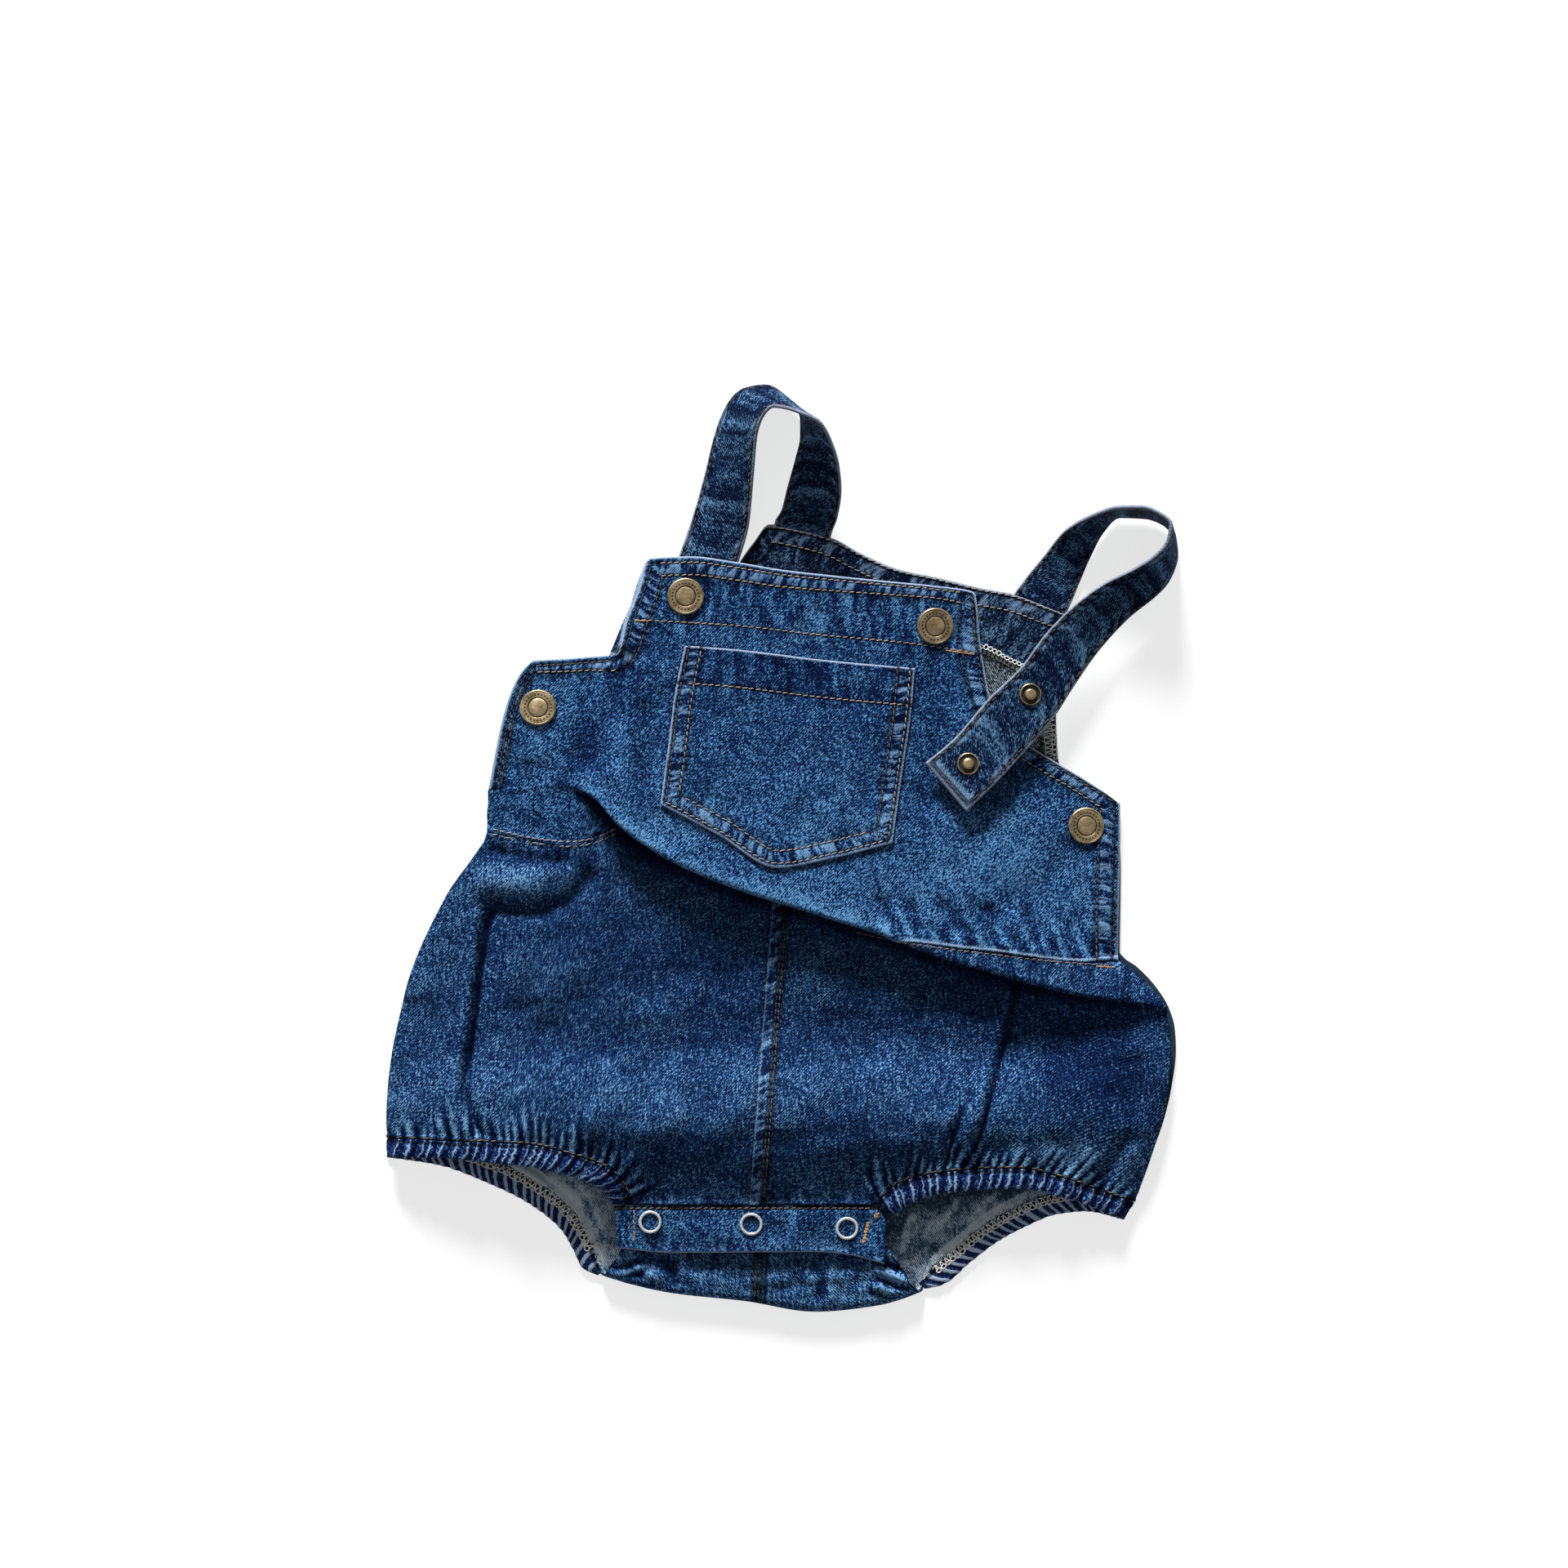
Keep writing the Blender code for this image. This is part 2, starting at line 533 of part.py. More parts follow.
def material(name, colour, roughness, metallic=0.0):
    made = bpy.data.materials.new(name)
    made.use_nodes = True
    shader = made.node_tree.nodes["Principled BSDF"]
    shader.inputs["Base Color"].default_value = (*colour, 1)
    shader.inputs["Roughness"].default_value = roughness
    shader.inputs["Metallic"].default_value = metallic
    return made


def add_object(name, mesh, finish):
    body = bpy.data.objects.new(name, mesh)
    body.data.materials.append(finish)
    bpy.context.scene.collection.objects.link(body)
    mesh.shade_smooth()
    mesh.set_sharp_from_angle(angle=math.radians(50))
    return body


def cloth(name, rows, thickness, finish):
    """A closed wall of cloth whose middle surface goes through rows of points."""
    points = [[Vector(point) * MM for point in row] for row in rows]
    last_row, last = len(points) - 1, len(points[0]) - 1
    wall = bmesh.new()
    sides = ([], [])
    for i, row in enumerate(points):
        for side in sides:
            side.append([])
        for k, point in enumerate(row):
            along_row = row[min(k + 1, last)] - row[max(k - 1, 0)]
            down = points[min(i + 1, last_row)][k] - points[max(i - 1, 0)][k]
            offset = along_row.cross(down).normalized() * thickness / 2 * MM
            sides[0][-1].append(wall.verts.new(point + offset))
            sides[1][-1].append(wall.verts.new(point - offset))
    for side in sides:
        for upper, lower in zip(side, side[1:]):
            for k in range(last):
                wall.faces.new((upper[k], lower[k], lower[k + 1], upper[k + 1]))
    borders = (
        [side[0] for side in sides], [side[-1] for side in sides],
        [[row[0] for row in side] for side in sides], [[row[-1] for row in side] for side in sides],
    )
    for top, bottom in borders:
        for k in range(len(top) - 1):
            wall.faces.new((top[k], top[k + 1], bottom[k + 1], bottom[k]))
    bmesh.ops.recalc_face_normals(wall, faces=wall.faces)
    mesh = bpy.data.meshes.new(name)
    wall.to_mesh(mesh)
    wall.free()
    return add_object(name, mesh, finish)


def tube_mesh(name, sections):
    """A closed solid through rings of points in millimetres, each with the same count."""
    solid = bmesh.new()
    rings = [[solid.verts.new([c * MM for c in point]) for point in ring] for ring in sections]
    for a, b in zip(rings, rings[1:]):
        for k in range(len(a)):
            after = (k + 1) % len(a)
            solid.faces.new((a[k], a[after], b[after], b[k]))
    solid.faces.new(rings[0])
    solid.faces.new(rings[-1])
    bmesh.ops.recalc_face_normals(solid, faces=solid.faces)
    mesh = bpy.data.meshes.new(name)
    solid.to_mesh(mesh)
    solid.free()
    return mesh


def turned(name, profile, sides, place, finish):
    """A solid turned about +Z from a profile of (radius, height), its first and last points on the axis."""
    solid = bmesh.new()
    verts = [solid.verts.new((r * MM, 0, z * MM)) for r, z in profile]
    edges = [solid.edges.new(pair) for pair in zip(verts, verts[1:])]
    bmesh.ops.spin(
        solid, geom=verts + edges, cent=(0, 0, 0), axis=(0, 0, 1), angle=math.tau, steps=sides, use_merge=True
    )
    bmesh.ops.remove_doubles(solid, verts=solid.verts, dist=1e-6)
    bmesh.ops.recalc_face_normals(solid, faces=solid.faces)
    mesh = bpy.data.meshes.new(name)
    solid.to_mesh(mesh)
    solid.free()
    body = add_object(name, mesh, finish)
    body.location = [c * MM for c in place]
    return body


# --- Panels ---------------------------------------------------------------------------------------

def make_bodice(finish):
    """Bib and side wings in one piece, down to the waist seam, with the fold where it has one."""
    upper_rows, fold_rows = 7, 13
    rows = [[] for _ in range(upper_rows + fold_rows + 1)]
    for column in bodice_columns():
        end = column.seam - SEAM_GAP / 2
        break_at = min(0.0, end - 9.0)  # where the widely spaced rows give way to the close ones
        shares = spaced(upper_rows, -column.drape, break_at)[:-1] + spaced(fold_rows, break_at, end)
        for row, q in zip(rows, shares):
            row.append(column.at(q))
    return cloth("front_bodice", rows, DENIM, finish)


def casing_at(table, t):
    """(inner x, inner y, outer x, outer y) of a casing, a share t along its inner edge."""
    steps = [0.0]
    for a, b in zip(table, table[1:]):
        steps.append(steps[-1] + math.dist(a[:2], b[:2]))
    return [interpolate(steps, [row[k] for row in table], t * steps[-1]) for k in range(4)]


def casing_length(table):
    return math.fsum(math.dist(a[:2], b[:2]) for a, b in zip(table, table[1:]))


def hem_ripple(table, x, y):
    """The puckers that a leg's gathers send up its panel: strongest at the casing."""
    away, t = min((math.dist(casing_at(table, t)[:2], (x, y)), t) for t in spaced(32))
    calm = smooth_step(t * 9) * smooth_step((1 - t) * 9) * smooth_step(1 - away / 16)
    return HEM_RIPPLE * calm * math.sin(t * math.tau * 9 + 0.6)


def make_front_bloomer(name, table, columns, fold_rows, lower_rows, finish):
    """Half of the front of the bloomers, from the waist seam to its casing and the crotch band. The
    columns run from the centre seam to the side. Where the waist seam is above the fold, the panel
    goes through it first."""
    centre_top, side_top = columns[0].x, columns[-1].x
    outward = math.copysign(1, side_top - centre_top)
    side = "right" if outward > 0 else "left"
    centre_foot = CENTRE_SEAM_FRONT + outward * SEAM_GAP / 2
    crotch = abs(table[-1].inner_x - centre_foot)
    whole = crotch + casing_length(table)

    def edge(t):
        if t * whole < crotch:
            return lerp(centre_foot, table[-1].inner_x, t * whole / crotch), CROTCH_SEAM
        return casing_at(table, (1 - t) * whole / (whole - crotch))[:2]

    starts = []
    for column in columns:
        q = column.seam + SEAM_GAP
        starts.append(column.fold.length + 4 if fold_rows else max(q, column.fold.length + 0.5))
    rows = [[] for _ in range(fold_rows + lower_rows + 1)]
    side_from, side_to = columns[-1].at(starts[-1])[1], inset(edge, 1, LEG_GAP * outward)[1]

    def bow(v):
        y = lerp(side_from, side_to, v)
        ends = lerp(read(SIDES, "y", side, side_from), read(SIDES, "y", side, side_to), v)
        return read(SIDES, "y", side, y) - ends

    for column, start in zip(columns, starts):
        for row, q in zip(rows, spaced(fold_rows, column.seam + hidden_gap(column), start)[:-1] if fold_rows else []):
            row.append(column.at(q))
        t = (column.x - centre_top) / (side_top - centre_top)
        top_x, top_y, top_z = column.at(start)
        foot_x, foot_y = inset(edge, t, LEG_GAP * outward)
        for row, v in zip(rows[fold_rows:], spaced(lower_rows)):
            x, y = lerp(top_x, foot_x, v) + bow(v) * t, lerp(top_y, foot_y, v)
            row.append((x, y, puffed_height(x, y) + hem_ripple(table, x, y) if v else top_z))
    return cloth(name, rows, DENIM, finish)


def hidden_gap(column):
    """The seam's gap below the bodice, wider where the seam is turned under in the fold."""
    return SEAM_GAP * (0.5 + 3.5 * smooth_step((column.seam - 8) / 8))


def make_front_bloomers(finish):
    columns = bodice_columns()
    left_shares = [c.u for c in columns if c.x < CENTRE_SEAM_TOP - 2]
    left_shares += [(a + b) / 2 for a, b in zip(left_shares, left_shares[1:])]
    left = [Column(x=CENTRE_SEAM_TOP - SEAM_GAP / 2)] + [Column(u=u) for u in sorted(left_shares, reverse=True)]
    right = [c for c in columns if c.x > CENTRE_SEAM_TOP]
    right += [Column(x=x) for x in BLOOMER_CORNER]
    make_front_bloomer("front_bloomer_left", FRONT_LEFT_CASING, left, 0, 12, finish)
    make_front_bloomer("front_bloomer_right", FRONT_RIGHT_CASING, right, 14, 9, finish)


def back_waist(x):
    return interpolate([px for px, _ in BACK_WAIST], [py for _, py in BACK_WAIST], x)


def make_back_bloomer(name, casing, side, finish):
    """Half of the back of the bloomers: flat on the floor, then turned up at the crotch."""
    outward = 1 if side == "right" else -1
    centre_top = CENTRE_SEAM_TOP + outward * SEAM_GAP / 2
    centre_foot = CENTRE_SEAM_BACK + outward * SEAM_GAP / 2
    side_top = BACK_WAIST[-1][0] if side == "right" else BACK_WAIST[0][0]
    leg = [inset(lambda t: casing_at(casing, t)[:2], t, -LEG_GAP * outward) for t in spaced(14)]
    rim = [(x, y, 0.0) for x, y in leg]
    ends = [row for row in CROTCH if (row.x - centre_foot) * outward > 0]
    corner = ends[-1].x if side == "right" else ends[0].x
    for share in CROTCH_SHARES:
        x = lerp(corner, centre_foot, share)
        rim.append((x, read(CROTCH, "x", "fold", x) + CROTCH_RADIUS, read(CROTCH, "x", "past", x)))
    steps = [0.0]
    for a, b in zip(rim, rim[1:]):
        steps.append(steps[-1] + math.dist(a[:2], b[:2]))
    side_from, side_to = back_waist(side_top) - SEAM_GAP, rim[0][1]

    def bow(v):
        y = lerp(side_from, side_to, v)
        between = lerp(read(SIDES, "y", side, side_from), read(SIDES, "y", side, side_to), v)
        return read(SIDES, "y", side, y) - between

    flat_rows, turn_rows, level = 6, 8, 6.0
    rows = [[] for _ in range(flat_rows + turn_rows + 1)]
    for (x, y, past), step in zip(rim, steps):
        t = step / steps[-1]
        top_x = lerp(side_top, centre_top, t)
        top_y = back_waist(top_x) - SEAM_GAP
        shares = spaced(flat_rows, 0, 1 - max(level - past, 0.0) / (top_y - y))[:-1]
        turn = spaced(turn_rows, -max(level - past, 0.0), past)
        shares += [1 + q / (top_y - y) for q in turn if q <= 0]
        for row, v in zip(rows, shares):
            row.append((lerp(top_x, x, v) + bow(v) * (1 - t), lerp(top_y, y, v), BACK_HEIGHT))
        for row, q in zip(rows[len(shares):], [q for q in turn if q > 0]):
            bend = min(q / CROTCH_RADIUS, math.pi)
            beyond = max(q - CROTCH_RADIUS * math.pi, 0.0)
            row.append(
                (x, y - CROTCH_RADIUS * math.sin(bend) + beyond, BACK_HEIGHT + CROTCH_RADIUS * (1 - math.cos(bend)))
            )
    return cloth(name, rows, DENIM, finish)


def make_back_bodice(finish):
    def waist(u):
        x = lerp(BACK_WAIST[0][0], BACK_WAIST[-1][0], u)
        return x, back_waist(x)

    place = patch(
        lambda u: along(BACK_TOP, u), waist,
        lambda v: along(BACK_LEFT_EDGE, v), lambda v: along(BACK_RIGHT_EDGE, v),
    )
    rows = [[(*place(u, v), BACK_HEIGHT) for u in spaced(40)] for v in spaced(3)]
    return cloth("back_bodice", rows, DENIM, finish)


def make_back_facing(finish):
    left, right = (FACING_TOP[0], (-13.0, 118.0), FACING_FOOT[0]), (FACING_TOP[-1], FACING_FOOT[-1])
    place = patch(
        lambda u: along(FACING_TOP, u), lambda u: along(FACING_FOOT, u),
        lambda v: along(left, v), lambda v: along(right, v),
    )
    height = DENIM + SEAM_GAP + FACING_DENIM / 2
    rows = [[(*place(u, v), height) for u in spaced(14)] for v in spaced(3)]
    return cloth("back_facing", rows, FACING_DENIM, finish)


def make_pocket(finish):
    place = patch(
        lambda u: along(POCKET_TOP, u), lambda u: along(POCKET_FOOT, u),
        lambda v: along(POCKET_LEFT, v), lambda v: along(POCKET_RIGHT, v),
    )
    lift = DENIM + SEAM_GAP + 0.25
    rows = []
    for v in spaced(10):
        flat = [place(u, v) for u in spaced(10)]
        rows.append([(x, y, bodice_height(x, y) + lift) for x, y in flat])
    return cloth("bib_pocket", rows, DENIM, finish)


def make_crotch_band(finish):
    left = (BAND_TOP[0], BAND_FOOT[0])
    place = patch(
        lambda u: along(BAND_TOP, u), lambda u: along(BAND_FOOT, u),
        lambda v: along(left, v), lambda v: along(BAND_RIGHT_END, v),
    )
    rows = [[(*place(u, v), BAND_HEIGHT) for u in spaced(14)] for v in spaced(3)]
    return cloth("front_crotch_band", rows, BAND_DENIM, finish)


def make_casing(name, table, finish, rests=False):
    """A gathered strip along the front or the back of a leg opening, which may rest on the floor."""
    length = casing_length(table)
    gathers = round(length / GATHER_LENGTH)
    sections = []
    for t in spaced(gathers * GATHER_STATIONS):
        inner_x, inner_y, outer_x, outer_y = casing_at(table, t)
        z = BACK_HEIGHT if rests else puffed_height(inner_x, inner_y) + hem_ripple(table, inner_x, inner_y)
        calm = smooth_step(t * length / CASING_ENDS_FLAT) * smooth_step((1 - t) * length / CASING_ENDS_FLAT)
        ripple = GATHER_DEPTH * calm * math.sin(t * gathers * math.tau)
        half = CASING_THICKNESS / 2 * (0.55 + 0.45 * calm)
        ring = []
        for share, side in ((0.0, 0.45), (0.3, 1.0), (0.8, 0.85), (1.0, 0.1), (0.6, -0.9), (0.0, -0.45)):
            reach = share + (0.06 * ripple if share == 1.0 else 0.0)
            lift = side * half + (ripple if side > 0.5 or not rests and share > 0.2 else 0.0)
            level = z + lift
            if rests:
                level = 0.0 if side < 0 else max(level, 0.5)
            ring.append((lerp(inner_x, outer_x, reach), lerp(inner_y, outer_y, reach), level))
        sections.append(ring)
    return add_object(name, tube_mesh(name, sections), finish)


def make_strap(name, table, finish):
    edges = [(*row[:3], *row[3:]) for row in table]
    steps = spaced(30)
    rows = [[], [], []]
    for t in steps:
        point = along(edges, t)
        upper, lower = Vector(point[:3]), Vector(point[3:])
        for row, share in zip(rows, (0.0, 0.5, 1.0)):
            row.append(tuple(upper.lerp(lower, share)))
    return cloth(name, rows, STRAP_DENIM, finish)


# --- Metal parts ----------------------------------------------------------------------------------

def make_cap(name, x, y, finish):
    """A jeans-style snap cap: a low dish with a raised rim and a domed middle."""
    profile = (
        (0.0, 0.0), (CAP_RADIUS - 0.6, 0.0), (CAP_RADIUS, 0.8), (CAP_RADIUS - 0.5, 1.9),
        (CAP_RADIUS - 2.2, 2.1), (3.4, 1.7), (2.8, 2.2), (0.0, CAP_HEIGHT),
    )
    reach = CAP_RADIUS - 0.6
    east, west = bodice_height(x + reach, y), bodice_height(x - reach, y)
    north, south = bodice_height(x, y + reach), bodice_height(x, y - reach)
    facing = Vector(((west - east) / 2 / reach, (south - north) / 2 / reach, 1)).normalized()
    middle = max(bodice_height(x, y), (east + west) / 2, (north + south) / 2)
    body = turned(name, profile, 16, (x, y, middle), finish)
    body.location += facing * (DENIM / 2 + SEAM_GAP + 0.15) * MM
    body.rotation_euler = facing.to_track_quat("Z", "Y").to_euler()
    return body


def make_stud(name, x, y, z, finish):
    """The post of a snap: a flat ring round a small mushroom."""
    profile = (
        (0.0, 0.0), (STUD_RADIUS, 0.0), (STUD_RADIUS, 0.7), (STUD_RADIUS - 0.9, 0.9), (1.7, 0.6),
        (1.5, 1.6), (1.9, 2.2), (1.2, STUD_HEIGHT), (0.0, STUD_HEIGHT),
    )
    return turned(name, profile, 16, (x, y, z), finish)


def make_ring(name, x, y, finish):
    """An open snap ring on the crotch band."""
    solid = bmesh.new()
    wire = [
        solid.verts.new(((RING_RADIUS + RING_WIRE * math.cos(a)) * MM, 0, RING_WIRE * math.sin(a) * MM))
        for a in (math.tau * k / 6 for k in range(6))
    ]
    edges = [solid.edges.new((a, b)) for a, b in zip(wire, wire[1:] + wire[:1])]
    bmesh.ops.spin(
        solid, geom=wire + edges, cent=(0, 0, 0), axis=(0, 0, 1), angle=math.tau, steps=18, use_merge=True
    )
    bmesh.ops.remove_doubles(solid, verts=solid.verts, dist=1e-6)
    bmesh.ops.recalc_face_normals(solid, faces=solid.faces)
    mesh = bpy.data.meshes.new(name)
    solid.to_mesh(mesh)
    solid.free()
    body = add_object(name, mesh, finish)
    body.location = (x * MM, y * MM, (BAND_HEIGHT + BAND_DENIM / 2 + RING_WIRE + SEAM_GAP) * MM)
    return body


def strap_height(table, x, y):
    """Height of a strap's middle surface nearest to a point seen from above."""
    edges = [(*row[:3], *row[3:]) for row in table]
    best = (math.inf, 0.0)
    for t in spaced(120):
        point = along(edges, t)
        for share in spaced(8):
            here = [lerp(point[k], point[k + 3], share) for k in range(3)]
            best = min(best, (math.dist(here[:2], (x, y)), here[2]))
    return best[1]


# --- The garment ----------------------------------------------------------------------------------

def centre_on_origin():
    """Moves everything so that the origin is the middle of the outline seen from above."""
    bpy.context.view_layer.update()
    points = [body.matrix_world @ vert.co for body in bpy.data.objects for vert in body.data.vertices]
    middle = [(min(p[k] for p in points) + max(p[k] for p in points)) / 2 for k in (0, 1)]
    lowest = min(p.z for p in points)
    for body in bpy.data.objects:
        body.location -= Vector((*middle, lowest))


def main():
    for old in list(bpy.data.objects):
        bpy.data.objects.remove(old)

    outside = material("Denim outside", (0.045, 0.105, 0.235), 0.85)
    inside = material("Denim inside", (0.10, 0.14, 0.18), 0.9)
    brass = material("Antique brass", (0.30, 0.22, 0.12), 0.4, 1.0)
    silver = material("Nickel ring", (0.75, 0.76, 0.78), 0.25, 1.0)

    make_back_bodice(inside)
    make_back_facing(outside)
    make_back_bloomer("back_bloomer_left", BACK_LEFT_CASING, "left", inside)
    make_back_bloomer("back_bloomer_right", BACK_RIGHT_CASING, "right", inside)
    make_bodice(outside)
    make_front_bloomers(outside)
    make_pocket(outside)
    make_crotch_band(outside)

    make_casing("leg_casing_front_left", FRONT_LEFT_CASING, outside)
    make_casing("leg_casing_front_right", FRONT_RIGHT_CASING, outside)
    make_casing("leg_casing_back_left", BACK_LEFT_CASING, outside, rests=True)
    make_casing("leg_casing_back_right", BACK_RIGHT_CASING, outside, rests=True)
    make_strap("strap_left", LEFT_STRAP, outside)
    make_strap("strap_right", RIGHT_STRAP, outside)

    for name, (x, y) in CAPS.items():
        make_cap(name, x, y, brass)
    for name, (x, y) in STUDS.items():
        make_stud(name, x, y, strap_height(RIGHT_STRAP, x, y) + STRAP_DENIM / 2 + SEAM_GAP + 0.3, brass)
    for name, (x, y) in RINGS.items():
        make_ring(name, x, y, silver)
    centre_on_origin()


main()
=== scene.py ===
import math

import bpy
import numpy as np
from mathutils import Matrix, Vector
from mathutils.bvhtree import BVHTree


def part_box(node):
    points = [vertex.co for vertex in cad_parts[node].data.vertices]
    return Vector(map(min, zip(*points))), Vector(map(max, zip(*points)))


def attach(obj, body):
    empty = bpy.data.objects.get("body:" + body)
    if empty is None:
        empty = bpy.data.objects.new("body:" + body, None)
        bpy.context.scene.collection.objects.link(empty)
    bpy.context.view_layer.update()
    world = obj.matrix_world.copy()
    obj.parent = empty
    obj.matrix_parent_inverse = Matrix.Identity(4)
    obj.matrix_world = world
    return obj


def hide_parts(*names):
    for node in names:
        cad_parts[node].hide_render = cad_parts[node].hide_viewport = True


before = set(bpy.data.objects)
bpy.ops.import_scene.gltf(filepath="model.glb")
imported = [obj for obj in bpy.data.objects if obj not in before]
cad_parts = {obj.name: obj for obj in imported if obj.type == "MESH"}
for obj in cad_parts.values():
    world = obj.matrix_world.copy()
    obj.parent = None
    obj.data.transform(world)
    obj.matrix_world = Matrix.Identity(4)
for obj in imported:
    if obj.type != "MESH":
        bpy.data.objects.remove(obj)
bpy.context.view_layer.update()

# A baby's denim dungaree romper, laid face up. Sizes are in millimetres, and mm turns them into metres.
# Left is -X and the neck is +Y. The cloth follows the same tables as the solids of the frame.
mm = 0.001
ringAt = (-12.2, -156.4)  # the middle ring of the crotch in the tables
ringLow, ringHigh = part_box("crotch_ring_middle")
originShift = np.array([(ringLow[k] + ringHigh[k]) / 2 / mm - ringAt[k] for k in (0, 1)] + [0.0])


# --- curves and tables

def mixed(a, b, t):
    return a + (b - a) * t


def eased(t):
    t = np.clip(t, 0.0, 1.0)
    return t * t * (3 - 2 * t)


def bell(t):
    return np.exp(-np.square(t))


def smoothCurve(keys, values):  # never overshoots, and level beyond its ends
    keys, values = np.array(keys, float), np.array(values, float)
    gaps = np.diff(keys)
    rates = np.diff(values) / gaps
    slopes = np.concatenate([rates[:1], np.zeros(len(gaps) - 1), rates[-1:]])
    for i, (before, after, g, h) in enumerate(zip(rates, rates[1:], gaps, gaps[1:]), 1):
        if before * after > 0:
            slopes[i] = 3 * (g + h) / ((g * 2 + h) / after + (g + h * 2) / before)

    def at(x):
        x = np.clip(x, keys[0], keys[-1])
        i = np.clip(np.searchsorted(keys, x, side="right") - 1, 0, len(gaps) - 1)
        t = (x - keys[i]) / gaps[i]
        return (values[i] * (1 + 2 * t) * (1 - t) ** 2 + values[i + 1] * t * t * (3 - 2 * t)
                + gaps[i] * t * (1 - t) * (slopes[i] * (1 - t) - slopes[i + 1] * t))
    return at


def stepsAlong(points, axes=2):  # how far along its line each point is, measured in its first numbers
    points = np.array(points, float)[:, :axes]
    return np.concatenate([[0.0], np.cumsum(np.linalg.norm(np.diff(points, axis=0), axis=1))])


def smoothLine(points, axes=2):  # from a share of the length to a point with all the numbers of the given ones
    steps = stepsAlong(points, axes)
    curves = [smoothCurve(steps, column) for column in zip(*points)]
    return lambda t: np.stack([curve(np.clip(t, 0, 1) * steps[-1]) for curve in curves], axis=-1)


def sampled(points, count, start=0, end=1):
    return smoothLine(points)(np.linspace(start, end, count))


def circle(sides):  # the corners of a circle, and its first one again
    return [(math.cos(math.tau * k / sides), math.sin(math.tau * k / sides)) for k in range(sides + 1)]


def lineLength(points):
    return float(np.linalg.norm(np.diff(np.array(points, float)[:, :2], axis=0), axis=1).sum())


def columnsOf(table):
    return list(zip(*table))


def nearLine(x, y, line):  # (distance, +1 on its left or -1 on its right, length along it)
    line = np.array(line, float)[:, :2]
    best, side, along = np.full(x.shape, 1e9), np.zeros(x.shape), np.zeros(x.shape)
    passed = 0.0
    for a, b in zip(line, line[1:]):
        dx, dy = b - a
        size = math.hypot(dx, dy)
        if size < 1e-9:
            continue
        t = np.clip(((x - a[0]) * dx + (y - a[1]) * dy) / size ** 2, 0, 1)
        ex, ey = x - a[0] - t * dx, y - a[1] - t * dy
        away = np.hypot(ex, ey)
        closer = away < best
        best = np.where(closer, away, best)
        side = np.where(closer, np.sign(dx * ey - dy * ex), side)
        along = np.where(closer, passed + t * size, along)
        passed += size
    return best, side, along


def window(x, low, high, soft):  # 1 between two values, easing to 0 at both
    return eased((x - low) / soft) * eased((high - x) / soft)


def fromEdges(length, step, close=(0.0, 0.25, 0.7, 1.3, 2.0)):  # spacing that is close at both ends
    close = np.array(close)
    count = max(int(round((length - 2 * close[-1]) / step)), 1)
    inner = np.linspace(close[-1], length - close[-1], count + 1)
    return np.concatenate([close[:-1], inner, (length - close[:-1])[::-1]])


def wavy(x, y, size, seed):  # an uneven field of about -1 to 1 whose bumps are about one size apart
    rng = np.random.default_rng(seed)
    total = np.zeros(np.broadcast(x, y).shape)
    for _ in range(14):
        turn, phase, wave = rng.uniform(0, math.tau), rng.uniform(0, math.tau), size * rng.uniform(0.7, 1.8)
        total += np.sin((x * math.cos(turn) + y * math.sin(turn)) * math.tau / wave + phase)
    return total / 3.4


# --- the garment's own tables

sideEdges = (  # y, left, right
    (-175, -120, 120), (-155, -144, 142.5), (-148.6, -150, 146.9), (-138.4, -158, 151),
    (-128.2, -163.9, 154.8), (-112.9, -164.6, 159.8), (-101, -164.2, 162.3), (-85.7, -162.5, 163.9),
    (-75.5, -160.6, 163.2), (-67, -158.7, 160.5), (-56.8, -156.2, 153.7), (-50, -154, 146.9),
    (-44.2, -151.8, 139.6), (-21.1, -140.6, 140.1), (10, -122, 141), (24.5, -120.8, 141.2),
    (38.4, -118.3, 141.2), (52, -115.6, 141.2), (63.9, -112.2, 141.2), (77.5, -103, 141.2),
)
puff = (  # y, rise of the front over its side seams
    (-165, 6.2), (-148.6, 6.2), (-138, 8.6), (-126, 13.4), (-113, 16.5), (-100, 14.4), (-86, 10),
    (-72, 7.6), (-48, 5.8), (-20, 5.4), (12, 5.4),
)
foldTable = (  # x, lowest edge, angle turned under, straight run beneath, whole drop
    (-125, 22, 6, 0, 0.1), (-88, 25.4, 12, 0, 0.3), (-84, 24.2, 70, 0.2, 2.6),
    (-77, 20.4, 140, 2, 6.6), (-67, 9.5, 165, 4, 10), (-43, -6.5, 172, 9, 12.8),
    (-16, -17.7, 172, 11, 13.2), (14, -27.2, 172, 11, 13.2), (41.5, -36, 172, 10, 12.6), (65, -45, 172, 9, 12),
    (99, -55, 172, 7, 11), (125, -61.5, 170, 5, 8.5), (139, -63.5, 150, 3, 6.5),
    (150, -65, 100, 1, 3.6), (161, -68, 25, 0, 0.9),
)
waistSeam = (  # x, distance along the cloth past the start of the front roll
    (-121.7, 16.8), (-108, 20.9), (-98, 24), (-88, 26), (-78, 24.5), (-67, 25.5), (-43, 29.5),
    (-16, 31.5), (-1, 29.4), (14, 21), (28, 12), (41.5, 5), (58.5, -1.8), (75.5, -5.2), (92.5, -8.4),
    (109.5, -10.8), (126.5, -13.2), (139.4, -15.5), (147, -11.8), (154, -6.3), (161, -0.5),
)
